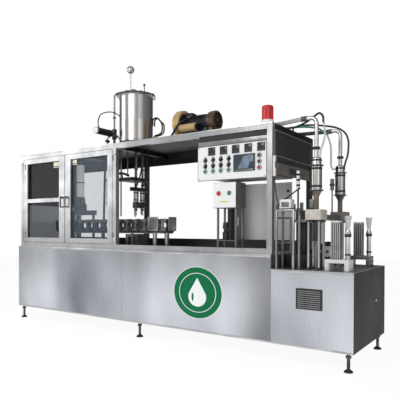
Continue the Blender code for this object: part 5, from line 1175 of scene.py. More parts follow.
def dress_blower():
    """Two housings, the motor between them with fins and bolts, the duct and two cables."""
    y, z = -0.050, 2.230
    left, right, width = 0.100, 0.590, 0.090
    inner, outer = left + width, right - width
    floor = ROOF_FLOOR
    body = Shape()
    big = 0.150
    body.turned(
        (
            (0, left), (big * 0.20, left), (big * 0.24, left + 0.006), (big * 0.52, left + 0.010),
            (big * 0.60, left + 0.002), (big * 0.94, left + 0.006), (big, left + 0.020),
            (big, left + 0.040), (big * 1.02, left + 0.042), (big * 1.02, left + 0.050),
            (big, left + 0.052), (big, inner - 0.008), (big - 0.006, inner), (big - 0.030, inner),
            (big - 0.034, inner - 0.026), (0, inner - 0.026)
        ),
        (0, y, z), gold_paint, "X", 72
    )
    body.drum(big - 0.036, inner - 0.0255, inner - 0.020, (0, y, z), black_trim_and_shade, "X", 64)
    body.box((left + 0.022, y - 0.120, floor), (left + 0.079, y + 0.120, floor + 0.080), gold_paint, 0.006)
    body.box((left + 0.012, y - 0.128, floor), (left + 0.088, y + 0.128, floor + 0.010), gold_paint, 0.002)
    body.drum(0.042, 0.172, 0.404, (0, y - 0.120, 2.166), gold_paint, "X", 40)
    body.ring(0.0420, 0.0455, 0.196, 0.206, (0, y - 0.120, 2.166), bronze_paint, "X")
    body.drum(0.030, 0.4040, 0.4130, (0, y - 0.120, 2.166), motor_paint, "X", 40)

    small = 0.100
    body.turned(
        (
            (0, right - 0.030), (small - 0.022, right - 0.030), (small - 0.018, right),
            (small - 0.006, right), (small, right - 0.008), (small, outer + 0.026),
            (small * 0.94, outer + 0.006), (small * 0.78, outer), (0, outer)
        ),
        (0, y, z), bronze_paint, "X", 72
    )
    body.drum(small - 0.024, right - 0.0298, right - 0.0270, (0, y, z), black_trim_and_shade, "X", 56)
    body.drum(0.022, right - 0.0268, right - 0.001, (0, y, z), bronze_paint, "X", 32)
    for radius in (0.040, 0.058):
        body.ring(radius, radius + 0.005, right - 0.012, right - 0.006, (0, y, z), bronze_paint, "X", 48)
    for angle in turns_round(6):
        low, high = (right - 0.013, y - 0.0040, z + 0.020), (right - 0.004, y + 0.0040, z + 0.080)
        body.box(low, high, bronze_paint, 0.001, (angle, 0, 0), (right, y, z))
    body.box((right - 0.067, y - 0.080, floor), (right - 0.023, y + 0.080, z - 0.078), bronze_paint, 0.004)

    body.drum(0.074, inner - 0.020, outer + 0.002, (0, y, z), motor_paint, "X", 48)
    body.box((inner + 0.022, y - 0.041, floor), (outer - 0.022, y + 0.041, z - 0.041), motor_paint, 0.003)
    body.box((inner + 0.022, y - 0.041, z), (inner + 0.104, y + 0.041, z + 0.110), motor_paint, 0.006)
    body.box(
        (inner + 0.018, y - 0.044, z + 0.098), (inner + 0.108, y + 0.044, z + 0.104), black_plastic, 0.002
    )
    body.box(
        (inner + 0.046, y - 0.0440, z + 0.040), (inner + 0.080, y - 0.0410, z + 0.070), white_plastic, 0.001
    )
    for step in (0.0, 0.018):
        start = inner + 0.040 + step
        body.tube(
            (
                (start, y - 0.038, z + 0.030), (start, y - 0.070, z + 0.032),
                (start - 0.012, y - 0.110, z + 0.022), (start - 0.040, y - 0.150, z - 0.020),
                (start - 0.080, y - 0.175, z - 0.100), (start - 0.120, y - 0.190, z - 0.160),
                (start - 0.180, y - 0.200, floor + 0.010), (start - 0.260, y - 0.230, floor + 0.0072)
            ),
            0.0068, black_rubber
        )
    body.done("blower_body", MACHINE, "gold_paint", ("blower",))

    fin = Shape().box((-0.110, -0.0012, 0.0), (0.110, 0.0012, 0.0085), motor_paint)
    middle = (left + right) / 2
    places = []
    for angle in turns_round(36):
        places.append(((middle, y - 0.0735 * math.sin(angle), z + 0.0735 * math.cos(angle)), (angle, 0, 0)))
    repeated("motor_fins", fin, places, MACHINE)

    bolt = Shape().drum(0.0055, 0, 0.006, ORIGIN, bright_rod, sides=6)
    places = []
    for angle in turns_round(10):
        across, up = math.cos(angle), math.sin(angle)
        places.append(((left + 0.008, y + 0.132 * across, z + 0.132 * up), (0, -math.pi / 2, 0)))
        places.append(((right - 0.001, y + 0.088 * across, z + 0.088 * up), (0, math.pi / 2, 0)))
    repeated("blower_bolts", bolt, places, MACHINE)


def dress_beacon():
    """White foot and a fluted red lens."""
    x, y = 1.330, -0.420
    floor = ROOF_FLOOR
    lamp = Shape()
    lamp.turned(
        (
            (0, floor), (0.056, floor), (0.056, floor + 0.006), (0.0545, floor + 0.008),
            (0.0545, floor + 0.026), (0.052, floor + 0.030), (0, floor + 0.030)
        ),
        (x, y, 0), white_plastic
    )
    lens = floor + 0.030
    flutes = 28
    ring = []
    for angle in turns_round(flutes * 4):
        radius = 0.0490 + 0.0010 * math.cos(flutes * angle)
        ring.append((x + radius * math.cos(angle), y + radius * math.sin(angle)))
    lamp.prism(ring, lens, lens + 0.106, red_lens, "XY")
    lamp.turned(
        (
            (0.0498, lens + 0.100), (0.0500, lens + 0.106), (0.0490, lens + 0.114), (0.0455, lens + 0.122),
            (0.036, lens + 0.125), (0, lens + 0.125)
        ),
        (x, y, 0), red_lens
    )
    lamp.done("beacon_lamp", MACHINE, "red_plastic", ("beacon",))


# Operator panel and lower box

def dress_controls():
    """What the control door carries: meters, screen, rings, blank labels and screws."""
    door = "control_door"
    meters = Shape()
    for x in METER_XS:
        z = METER_Z
        meters.box(
            (x - 0.0368, FRAME_FRONT - 0.0085, z - 0.0368), (x + 0.0368, FRAME_FRONT - 0.0002, z + 0.0368),
            black_plastic, 0.0025
        )
        meters.box(
            (x - 0.031, FRAME_FRONT - 0.0092, z - 0.012), (x + 0.031, FRAME_FRONT - 0.0080, z + 0.031),
            meter_black, 0.0004
        )
        meters.box(
            (x - 0.031, FRAME_FRONT - 0.0090, z - 0.031), (x + 0.031, FRAME_FRONT - 0.0080, z - 0.016),
            charcoal, 0.0004
        )
        meters.box(
            (x - 0.0008, FRAME_FRONT - 0.0100, z - 0.010), (x + 0.0008, FRAME_FRONT - 0.0090, z + 0.022),
            gunmetal, 0, (0, -0.6, 0), (x, FRAME_FRONT, z - 0.012)
        )
    meters.done("panel_meters", door, "black_plastic")

    screen = Shape()
    x, z = 1.130, 1.706
    screen.box(
        (x - 0.1075, FRAME_FRONT - 0.0095, z - 0.0755), (x + 0.1075, FRAME_FRONT - 0.0002, z + 0.0755),
        black_plastic, 0.003
    )
    screen.box(
        (x - 0.092, FRAME_FRONT - 0.0102, z - 0.054), (x + 0.092, FRAME_FRONT - 0.0090, z + 0.062),
        screen_glass, 0.0003
    )
    # Painted reflection: a lighter slanted band over the screen glass.
    shine = ((x - 0.062, z - 0.052), (x + 0.040, z - 0.052), (x + 0.078, z + 0.056), (x - 0.004, z + 0.056))
    screen.prism(shine, FRAME_FRONT - 0.0105, FRAME_FRONT - 0.0101, screen_painted_reflection)
    screen.box(
        (x - 0.092, FRAME_FRONT - 0.0099, z - 0.070), (x + 0.092, FRAME_FRONT - 0.0090, z - 0.059),
        gunmetal, 0.0003
    )
    screen.done("touch_screen", door, "black_plastic")

    selectors = [(x, z) for z in SELECTOR_ZS for x in SELECTOR_XS]
    for number, (sx, sz) in enumerate(selectors, 1):
        pointer = Shape().box(
            (sx - 0.0013, FRAME_FRONT - 0.0196, sz - 0.0005),
            (sx + 0.0013, FRAME_FRONT - 0.0188, sz + 0.0115), white_print
        )
        pointer.done(f"selector_pointer_{number}", f"selector_{number}", "white_plate")

    ring = Shape().ring(0.0166, 0.0222, 0.0, 0.0030, ORIGIN, black_plastic)
    places = [((x, ON_FRAME, z), FACING_FRONT) for z in SELECTOR_ZS for x in SELECTOR_XS]
    repeated("selector_rings", ring, places, door)
    ring = Shape().ring(0.0197, 0.0228, 0.0, 0.0034, ORIGIN, dark_steel)
    places = [((x, ON_FRAME, BUTTON_Z), FACING_FRONT) for x in SELECTOR_XS]
    places += [((SIDE_BUTTON_X, ON_FRAME, z), FACING_FRONT) for z in SIDE_BUTTON_ZS]
    repeated("button_rings", ring, places, door)
    label = Shape().box((-0.016, -0.0024, 0.0), (0.016, 0.0024, 0.0008), gunmetal)
    places = [((x, ON_FRAME, z), FACING_FRONT) for z in (1.7835, 1.7300, 1.6795) for x in SELECTOR_XS]
    repeated("blank_labels", label, places, door)
    screw = Shape().drum(0.0050, 0.0, 0.0027, ORIGIN, bright_rod, sides=12)
    places = [((x, ON_FRAME, z), FACING_FRONT) for x in (0.648, 1.331) for z in (1.582, 1.869)]
    repeated("panel_corner_screws", screw, places, door)
    edge = Shape()
    for low, high in (
        ((PANEL_LEFT, PANEL_BOTTOM), (PANEL_RIGHT, 1.5705)), ((PANEL_LEFT, 1.882), (PANEL_RIGHT, PANEL_TOP)),
        ((PANEL_LEFT, PANEL_BOTTOM), (0.635, PANEL_TOP)), ((1.3445, PANEL_BOTTOM), (PANEL_RIGHT, PANEL_TOP)),
    ):
        edge.box((low[0], FRAME_FRONT - 0.0012, low[1]), (high[0], ON_FRAME, high[1]), dark_steel)
    edge.done("panel_edge", door, "brushed_steel")


def dress_lower_box():
    """Band over the operator panel, front of the lower box, and the regulator under it."""
    band = Shape()
    band.box((0.640, -0.4700, 1.888), (PANEL_RIGHT, -0.4540, 1.928), dull_rod, 0.001)
    # Painted shade: a black strip for the shaded gap above the band.
    band.box((0.640, -0.4600, 1.929), (1.345, -0.4542, 1.980), black_trim_and_shade)
    band.done("cabinet_band", MACHINE, "brushed_steel")

    front = -0.462
    box = Shape()
    box.box((0.8000, front - 0.0024, 1.3150), (1.0390, front - 0.0002, 1.5420), white_plate, 0.0006)
    box.ring(0.0152, 0.0230, 0.0026, 0.0050, (0.972, front, 1.445), bright_rod, "-Y")
    box.box((0.880, front - 0.0034, 1.362), (0.962, front - 0.0024, 1.374), yellow_print)
    box.done("box_fittings", MACHINE, "pale_paint")
    regulator = Shape()
    rx, ry = 0.879, -0.3655
    regulator.turned(
        (
            (0, 1.0165), (0.0305, 1.0165), (0.0305, 1.090), (0.0185, 1.097), (0.0185, 1.120),
            (0.0305, 1.127), (0.0285, 1.150), (0.0245, 1.1835), (0, 1.184)
        ),
        (rx, ry, 0), black_plastic, sides=36
    )
    regulator.box((1.0010, ry - 0.016, 1.150), (1.0060, ry + 0.016, 1.230), white_plastic, 0.001)
    regulator.done("box_regulator", MACHINE, "black_plastic")


# Doors, frame and roof

def dress_doors():
    """Pulls, seams, seals and paper labels of both front doors, and bosses on the frame."""
    grip = 0.0066
    bottom, top, rail = 0.9528, 1.9782, 0.058
    leaves = (
        ("door_left", -1.2957, -2.0275, -1.25625, 0.075, 0.098, (-1.489, -1.370, 1.849, 1.930)),
        ("door_right", -1.2153, -1.25375, -0.4835, 0.098, 0.075, (-1.156, -1.080, 1.858, 1.932)),
    )
    for body, x, left, right, left_stile, right_stile, sign in leaves:
        handle = Shape()
        y = FRAME_FRONT
        for z in (1.3675, 1.4825):
            handle.box(
                (x - 0.009, y - 0.030, z - 0.001), (x + 0.009, y - 0.0002, z + 0.013), black_plastic, 0.002
            )
        handle.box((x - grip, y - 0.0355, 1.366), (x + grip, y - 0.0220, 1.484), black_trim_and_shade, 0.004)
        handle.done(body + "_pull", body, "black_plastic")
        strips = Shape()
        for x_edge, x_in, z_edge, z_in in (
            (left, left + left_stile, bottom, bottom + rail), (left, left + left_stile, top, top - rail),
            (right, right - right_stile, bottom, bottom + rail),
            (right, right - right_stile, top, top - rail),
        ):
            start, end = Vector((x_edge, 0, z_edge)), Vector((x_in, 0, z_in))
            across = (end - start).cross(Vector((0, 1, 0))).normalized() * 0.0008
            outline = [(p.x, p.z) for p in (start + across, end + across, end - across, start - across)]
            strips.prism(outline, FRAME_FRONT - 0.0004, ON_FRAME, dark_steel)
        x0, x1, z0, z1 = left + left_stile, right - right_stile, bottom + rail, top - rail
        for low, high in (
            ((x0, z0), (x1, z0 + 0.004)), ((x0, z1 - 0.004), (x1, z1)), ((x0, z0), (x0 + 0.004, z1)),
            ((x1 - 0.004, z0), (x1, z1))
        ):
            strips.box(
                (low[0], FRAME_FRONT + 0.018, low[1]), (high[0], FRAME_FRONT + 0.0298, high[1]),
                black_rubber
            )
        for low, high in (
            ((left, bottom), (left + 0.0025, top)), ((right - 0.0025, bottom), (right, top)),
            ((left, top - 0.0025), (right, top)), ((left, bottom), (right, bottom + 0.0025))
        ):
            strips.box((low[0], FRAME_FRONT - 0.0005, low[1]), (high[0], ON_FRAME, high[1]), black_trim_and_shade)
        strips.done(body + "_seams", body, "brushed_steel")
        label = Shape()
        x0, x1, z0, z1 = sign
        label.box((x0, -0.4426, z0), (x1, -0.4420, z1), label_paper)
        label.box((x0 + 0.006, -0.4430, z0 + 0.006), (x1 - 0.006, -0.4426, z0 + 0.020), gunmetal)
        label.done(body + "_label", body, "white_plate")

    boss = Shape().turned(
        ((0, 0), (0.020, 0), (0.020, 0.006), (0.016, 0.009), (0.009, 0.010), (0.009, 0.012), (0, 0.0125)),
        ORIGIN, bright_rod, sides=28
    )
    places = [((x, ON_FRAME, z), FACING_FRONT) for x in (FRAME_LEFT, DOOR_POST) for z in (1.925, 1.005)]
    repeated("corner_bosses", boss, places, MACHINE)


def dress_end_wall():
    """Thin wall in the left end of the upper frame: dark above, painted shade of the bay's inside, and grey
    below with a painted glow.
    """
    outer, inner, reach = -2.0795, -2.0770, 0.4215
    wall = Shape()
    wall.box((outer, -reach, 1.420), (inner, reach, 1.980), end_dark)
    wall.box((outer, -reach, 0.9005), (inner, reach, 1.4195), end_grey)
    wall.done("left_end_wall", MACHINE, "charcoal_paint")


def dress_roof():
    """Painted shade under the roof and over the rear rails, trims of roof and sign, rear lock and apron."""
    # Painted shade: black sheets under the roof and over the top and bottom rear rails, where shade falls.
    shade_sheets = Shape()
    crosses = (FRAME_LEFT, -1.250, DOOR_POST, 0.600, 1.050, 1.375)
    for first, second in zip(crosses, crosses[1:]):
        shade_sheets.box(
            (first + 0.026, -RAIL_Y, ROOF_UNDER - 0.0016), (second - 0.026, RAIL_Y, ROOF_UNDER - GAP),
            black_trim_and_shade
        )
    for low, high in ((1.900, 1.980), (0.9005, 1.006)):
        shade_sheets.box((-2.050, 0.4235, low), (1.370, 0.4285, high), black_trim_and_shade)
    shade_sheets.done("roof_liner", MACHINE, "charcoal_paint")
    trim = Shape()
    trim.box((-2.081, -0.4740, ROOF_TOP - 0.012), (1.401, -0.4721, ROOF_TOP + 0.001), steel_level, 0.0005)
    trim.box((-2.081, 0.4721, ROOF_TOP - 0.012), (1.401, 0.4740, ROOF_TOP + 0.001), steel_level, 0.0005)
    for y in (-0.4205, 0.4185):
        trim.box((STEP_X + 0.0002, y, 1.7550), (STEP_X + 0.003, y + 0.002, 1.980), steel_frame)
    for low, high in (((-RAIL_Y, 1.7550), (RAIL_Y, 1.7600)), ((-RAIL_Y, 1.9720), (RAIL_Y, 1.9802))):
        trim.box((STEP_X + 0.0001, low[0], low[1]), (STEP_X + 0.003, high[0], high[1]), steel_frame, 0.0005)
    trim.done("roof_trim", MACHINE, "brushed_steel")
    lock = Shape()
    lock.turned(
        ((0, 0), (0.0145, 0), (0.0145, 0.0015), (0.006, 0.002), (0, 0.002)),
        (1.136, FRAME_BACK - 0.0125, 1.520), black_plastic, "-Y", 24
    )
    lock.done("rear_lock_face", "rear_door", "black_plastic")
    apron = Shape()
    apron.box((STEP_X - 0.013, -RAIL_Y, 1.6000), (STEP_X - 0.010, RAIL_Y, 1.7040), brown_steel, 0.0005)
    apron.box((STEP_X - 0.0100, -0.0800, 1.6250), (STEP_X - 0.0090, 0.1000, 1.6800), dark_steel)
    apron.done("sign_apron", MACHINE, "dark_steel")


# Track with its carriers and the filling station

def track_loop(reach):
    """Outline of the track at a distance from its two end axes."""
    points = []
    for centre, start in ((TRACK_RIGHT, -math.pi / 2), (TRACK_LEFT, math.pi / 2)):
        for i in range(17):
            angle = start + math.pi * i / 16
            points.append((centre + reach * math.cos(angle), reach * math.sin(angle)))
    return points


def dress_track():
    """Waisted carriers round the loop, the chain under them, its legs and the carriers' pins."""
    half, waist = 0.028, 0.010
    bottom = 1.092
    unit = Shape()
    outline = (
        (-half, 0), (half, 0), (half, 0.036), (waist, 0.052), (waist, 0.088), (half, 0.104), (half, 0.140),
        (-half, 0.140), (-half, 0.104), (-waist, 0.088), (-waist, 0.052), (-half, 0.036)
    )
    unit.prism(outline, -0.031, 0.031, gunmetal, bevel=0.002)
    for low, high in ((0.004, 0.032), (0.108, 0.136)):
        unit.box((-0.025, 0.0300, low), (0.025, 0.0322, high), bright_rod, 0.001)
        unit.box((-0.017, 0.0315, low + 0.006), (0.017, 0.0325, high - 0.006), black_trim_and_shade)
    for side in (-1, 1):
        unit.box(
            (side * 0.0265 - 0.0025, -0.0312, 0.106), (side * 0.0265 + 0.0025, 0.0312, 0.139), bright_rod,
            0.0008
        )
        unit.box(
            (side * 0.0265 - 0.0025, -0.0312, 0.001), (side * 0.0265 + 0.0025, 0.0312, 0.034), bright_rod,
            0.0008
        )
    left, right, radius = TRACK_LEFT, TRACK_RIGHT, TRACK_RADIUS
    places = []
    for i in range(13):
        x = left + (right - left) * i / 12
        places += [((x, -radius, bottom), (0, 0, -math.pi)), ((x, radius, bottom), (0, 0, 0))]
    for centre, start in ((right, -math.pi / 2), (left, math.pi / 2)):
        for i in range(1, 4):
            angle = start + math.pi * i / 4
            spot = (centre + radius * math.cos(angle), radius * math.sin(angle), bottom)
            places.append((spot, (0, 0, angle - math.pi / 2)))
    repeated("carton_carriers", unit, places, MACHINE, ("carrier_chain",))

    chain = Shape()
    for reach_in, reach_out, low, high, material in (
        (0.095, 0.135, 1.080, 1.104, dark_steel), (0.112, 0.118, 1.104, 1.112, bright_rod),
    ):
        inner, outer = track_loop(reach_in), track_loop(reach_out)
        part = bmesh.new()
        rings = [
            [part.verts.new((x, y, z)) for x, y in ring]
            for ring, z in ((inner, low), (outer, low), (outer, high), (inner, high))
        ]
        count = len(inner)
        for a, b in zip(rings, rings[1:] + rings[:1]):
            for k in range(count):
                after = (k + 1) % count
                part.faces.new((a[k], a[after], b[after], b[k]))
        bmesh.ops.recalc_face_normals(part, faces=part.faces)
        chain.keep(part, material)
    chain.box((-0.258, -0.1535, 1.098), (-0.112, -0.1485, 1.252), cast_grey, 0.002)
    chain.box((-0.246, -0.1545, 1.112), (-0.124, -0.1533, 1.236), dull_rod, 0.0006)
    chain.box((-0.0335, -0.0700, 1.098), (-0.0285, 0.0700, 1.252), cast_grey, 0.002)
    chain.box((-0.640, -0.100, DECK_FLOOR), (-0.460, 0.100, 1.060), gunmetal, 0.003)
    chain.box((-0.600, -0.1010, 0.930), (-0.500, -0.1000, 1.030), black_trim_and_shade)
    for x, y in ((-0.186, -0.115), (-0.080, -0.040)):
        chain.drum(0.024, DECK_FLOOR, 1.0798, (x, y, 0), bright_rod)
        chain.ring(0.0242, 0.034, DECK_FLOOR, 0.912, (x, y, 0), dark_steel)
    chain.done("carrier_loop", MACHINE, "dark_steel")

    pin = Shape().turned(
        ((0, 0), (0.006, 0), (0.006, 0.004), (0.0045, 0.006), (0, 0.006)), ORIGIN, bright_rod, sides=12
    )
    spots = []
    for (x, y, z), (_, _, turn) in places:
        outward = Vector((math.sin(-turn), math.cos(turn), 0))
        for height in (0.018, 0.122):
            spots.append(
                ((x + outward.x * 0.0311, y + outward.y * 0.0311, z + height), (-math.pi / 2, 0, turn))
            )
    repeated("carrier_pins", pin, spots, MACHINE)


def dress_filler():
    """Bridge with its rods and lines, over the track."""
    station = Shape()
    station.box((-0.712, -0.1425, 1.6705), (-0.495, 0.1425, 1.7095), black_plastic, 0.003)
    station.box((-0.5365, -0.1415, 1.5540), (-0.4975, 0.1415, 1.5960), black_plastic, 0.003)
    bow = []
    for i in range(13):
        share = i / 12
        bow.append((-0.833 + 0.270 * share, 1.716 + 0.034 * math.sin(math.pi * share)))
    bow += [(x, z + 0.026) for x, z in reversed(bow)]
    station.prism(bow, -0.1400, -0.1180, black_trim_and_shade)
    for x in (-0.820, -0.580):
        station.drum(0.007, 1.720, 2.0300, (x, -0.129, 0), dull_rod, sides=20)
    for y in HEAD_YS:
        for z in (1.62, 1.80, 1.94):
            station.ring(0.0143, 0.0225, z, z + 0.014, (HEAD_X, y, 0), dark_steel)
        station.tube(
            (
                (HEAD_X, y, 1.596), (-0.500, y - 0.03, 1.605), (-0.440, y - 0.06, 1.640),
                (-0.400, y - 0.05, 1.760), (-0.410, y - 0.03, 1.90), (-0.410, y - 0.03, UNDER_ROOF)
            ),
            0.009, black_rubber
        )
    station.tube(
        (
            (-0.690, -0.100, 1.712), (-0.700, -0.110, 1.800), (-0.760, -0.120, 1.880),
            (-0.740, -0.120, 1.960), (-0.720, -0.120, UNDER_ROOF)
        ),
        0.009, black_rubber
    )
    station.done("filling_bridge_fittings", MACHINE, "black_plastic")


def dress_filling_heads():
    """Heads with their nozzles, which dip with their joints."""
    for body, y in zip(("filling_head_front", "filling_head_rear"), HEAD_YS):
        head = Shape()
        head.turned(
            (
                (0, 1.275), (0.0088, 1.275), (0.011, 1.286), (0.011, 1.409), (0.021, 1.424), (0.031, 1.430),
                (0.031, 1.445), (0.0295, 1.446), (0.0295, 1.539), (0.031, 1.540), (0.031, 1.5515),
                (0, 1.552)
            ),
            (HEAD_X, y, 0), bright_rod, sides=40
        )
        for z in (1.446, 1.527):
            head.ring(0.0294, 0.0306, z, z + 0.012, (HEAD_X, y, 0), black_trim_and_shade)
        head.ring(0.0111, 0.0180, 1.330, 1.352, (HEAD_X, y, 0), dark_steel)
        head.box((-0.5460, y - 0.0290, 1.358), (-0.4880, y + 0.0290, 1.426), dark_steel, 0.003)
        head.drum(0.0070, 1.290, 1.358, (-0.5380, y, 0), dull_rod, sides=16)
        head.done(body + "_body", body, "dark_steel", (body,))


def dress_left_bay():
    """Drive pieces and the heater tube behind the front doors."""
    bay = Shape()
    bay.tube(
        (
            (-1.30, 0.20, DECK_FLOOR), (-1.30, 0.20, 0.96), (-1.30, 0.20, 1.20), (-1.30, 0.21, 1.55),
            (-1.30, 0.22, 1.90), (-1.30, 0.22, UNDER_ROOF)
        ),
        0.014, black_rubber
    )
    bay.box((-1.90, 0.16, 1.30), (-1.45, 0.22, 1.36), gunmetal, 0.004)
    for x in (-1.86, -1.48):
        bay.drum(0.016, DECK_FLOOR, 1.3010, (x, 0.19, 0), dark_steel)
    bay.turned(
        ((0, 1.3605), (0.050, 1.3605), (0.050, 1.44), (0.030, 1.46), (0.030, 1.52), (0, 1.52)),
        (-1.68, 0.19, 0), dark_steel
    )
    bay.turned(
        ((0, 1.3605), (0.030, 1.3605), (0.030, 1.48), (0.018, 1.50), (0, 1.50)), (-1.82, 0.19, 0),
        black_plastic
    )
    x = -1.515
    bay.turned(((0, 1.4330), (0.014, 1.4330), (0.046, 1.5100), (0, 1.5100)), (x, 0, 0), cone_steel, sides=56)
    bay.drum(0.048, 1.5100, 1.9450, (x, 0, 0), bay_steel, sides=56)
    for z in (1.512, 1.700, 1.930):
        bay.ring(0.0480, 0.0560, z, z + 0.012, (x, 0, 0), dark_steel, sides=56)
    bay.drum(0.018, 1.9450, UNDER_ROOF, (x, 0, 0), dull_rod)
    bay.done("left_bay_drive", MACHINE, "dark_steel")


# Heating end

def dress_heater_columns():
    """Both columns with their cones, clamps and bent tops, and the bolts of their flanges."""
    x = COLUMN_X
    for name, y in (("heater_column_front", -LANE_Y), ("heater_column_rear", LANE_Y)):
        column = Shape()
        column.turned(
            ((0, 1.2843), (0.022, 1.2843), (0.022, 1.390), (0.024, 1.396), (0.0450, 1.4370), (0, 1.4370)),
            (x, y, 0), cone_steel, sides=64
        )
        column.drum(0.0465, 1.4370, 1.6490, (x, y, 0), polished, sides=64)
        column.turned(
            (
                (0, 1.6490), (0.0420, 1.6490), (0.0420, 1.712), (0.040, 1.717), (0.0330, 1.723),
                (0.018, 1.723), (0.017, 1.726), (0.017, 1.850), (0, 1.850)
            ),
            (x, y, 0), polished, sides=64
        )
        for z in (1.4393, 1.6493):
            column.ring(0.0410, 0.0600, z, z + 0.0075, (x, y, 0), dark_steel, sides=64)
        for z in (1.470, 1.618):
            column.ring(0.0465, 0.0482, z, z + 0.018, (x, y, 0), black_trim_and_shade, sides=64)
        column.ring(0.0420, 0.0450, 1.6900, 1.7040, (x, y, 0), black_trim_and_shade, sides=64)
        column.ring(0.0170, 0.0300, 1.7900, 1.8100, (x, y, 0), black_plastic)
        column.box((x - 0.006, y - 0.054, 1.792), (x + 0.006, y - 0.029, 1.808), black_plastic, 0.001)
        route = [(x, y, 1.800)] + round_bend(
            (x, y, HOSE_Z), (0, 0, 1), (-1, 0, 0), 0.050, 10
        ) + [(x - HOSE_BEND, y, HOSE_Z)]
        column.tube(route, 0.0168, polished, 28, smooth=False)
        column.done(name + "_body", MACHINE, "brushed_steel", (name,))
    bolt = Shape().drum(0.0042, 0, 0.005, ORIGIN, bright_rod, sides=6)
    places = []
    for y in (-LANE_Y, LANE_Y):
        for z in (1.4468, 1.6568):
            for angle in turns_round(8):
                places.append(((x + 0.0535 * math.cos(angle), y + 0.0535 * math.sin(angle), z), ORIGIN))
    repeated("flange_bolts", bolt, places, MACHINE)


def dress_press_station():
    """Pressing blocks on their rods, and the plain mechanism on the low deck behind them."""
    x = COLUMN_X
    press = Shape()
    for y, material in ((-LANE_Y, beige_block), (LANE_Y, brown_block)):
        press.box((x - 0.0675, y - 0.0775, 1.198), (x + 0.0675, y + 0.0775, 1.284), material, 0.002)
        for dx in (-1, 1):
            for dy in (-1, 1):
                rod_x, rod_y = x + dx * 0.0455, y + dy * 0.0555
                press.drum(0.011, LOW_FLOOR, 1.1985, (rod_x, rod_y, 0), bright_rod, sides=24)
                press.ring(0.011, 0.019, LOW_FLOOR, 0.802, (rod_x, rod_y, 0), dark_steel, sides=24)
                press.ring(0.011, 0.018, 1.180, 1.1979, (rod_x, rod_y, 0), dark_steel, sides=24)
        press.box((x - 0.0200, y - 0.0300, 1.020), (x + 0.0200, y + 0.0300, 1.1980), black_trim_and_shade, 0.002)
        press.drum(0.012, LOW_FLOOR, 1.0200, (x, y, 0), dull_rod, sides=24)
    press.box((x - 0.025, -LANE_Y + 0.078, 1.1985), (x + 0.025, LANE_Y - 0.078, 1.2475), gunmetal, 0.002)
    press.box((1.420, -0.240, LOW_FLOOR), (1.660, 0.060, 0.900), black_trim_and_shade, 0.004)
    press.box((1.460, 0.080, LOW_FLOOR), (1.640, 0.400, 0.925), black_trim_and_shade, 0.004)
    press.box((1.470, -0.120, 0.9000), (1.560, 0.020, 1.180), black_trim_and_shade, 0.004)
    press.box((1.440, -0.200, 1.1810), (1.630, 0.120, 1.2050), dull_rod, 0.003)
    for rod_x in (1.450, 1.620):
        for rod_y in (-0.190, 0.110):
            press.drum(0.009, LOW_FLOOR, 1.1810, (rod_x, rod_y, 0), dull_rod, sides=20)
    press.box((1.480, -0.160, 1.2051), (1.560, -0.060, 1.290), dark_steel, 0.003)
    press.drum(0.016, 1.2900, 1.3600, (1.520, -0.110, 0), gunmetal, sides=28)
    press.done("press_station", MACHINE, "beige_block", ("press_blocks",))


def dress_ribbed_columns():
    """Grooved columns with their bracket, stand pipe and measuring cup."""
    groove = ribbed_outline()
    for name, y, bracket in (
        ("ribbed_column_front", -LANE_Y, white_plastic), ("ribbed_column_rear", LANE_Y, gunmetal)
    ):
        stack = Shape()
        stack.prism([(RIB_X + a, y + b) for a, b in groove], 0.8728, 1.181, cast_grey, "XY")
        stack.box((RIB_X - 0.0363, y - 0.0363, 0.8730), (RIB_X + 0.0363, y + 0.0363, 1.1800), groove_black)
        stack.box((1.8705, y - 0.0375, 1.172), (1.9455, y + 0.0375, 1.188), white_plastic, 0.003)
        stack.box((1.828, y - 0.065, 0.843), (2.026, y + 0.065, 0.873), bracket, 0.003)
        stack.box((1.828, y - 0.065, LOW_FLOOR), (1.864, y + 0.065, 0.844), bracket, 0.002)
        stack.box((1.990, y - 0.065, LOW_FLOOR), (2.026, y + 0.065, 0.844), bracket, 0.002)
        stack.turned(
            ((0, 0.872), (0.019, 0.872), (0.019, 1.058), (0.026, 1.079), (0.0158, 1.114), (0, 1.114)),
            (CUP_X, y, 0), bright_rod, sides=36
        )
        stack.ring(0.0190, 0.0270, 1.0560, 1.0800, (CUP_X, y, 0), black_trim_and_shade, sides=36)
        stack.ring(0.0190, 0.0240, 0.9050, 0.9210, (CUP_X, y, 0), dark_steel, sides=36)
        stack.turned(
            (
                (0.0150, 1.1141), (0.0155, 1.117), (0.0290, 1.226), (0.0298, 1.228), (0.0270, 1.228),
                (0.0132, 1.123), (0, 1.123), (0, 1.1141)
            ),
            (CUP_X, y, 0), cup_plastic, sides=40
        )
        stack.drum(0.009, 0.8735, 0.884, (1.975, y - 0.045, 0), bright_rod, sides=12)
        stack.done(name + "_stack", MACHINE, "dark_steel", (name,))


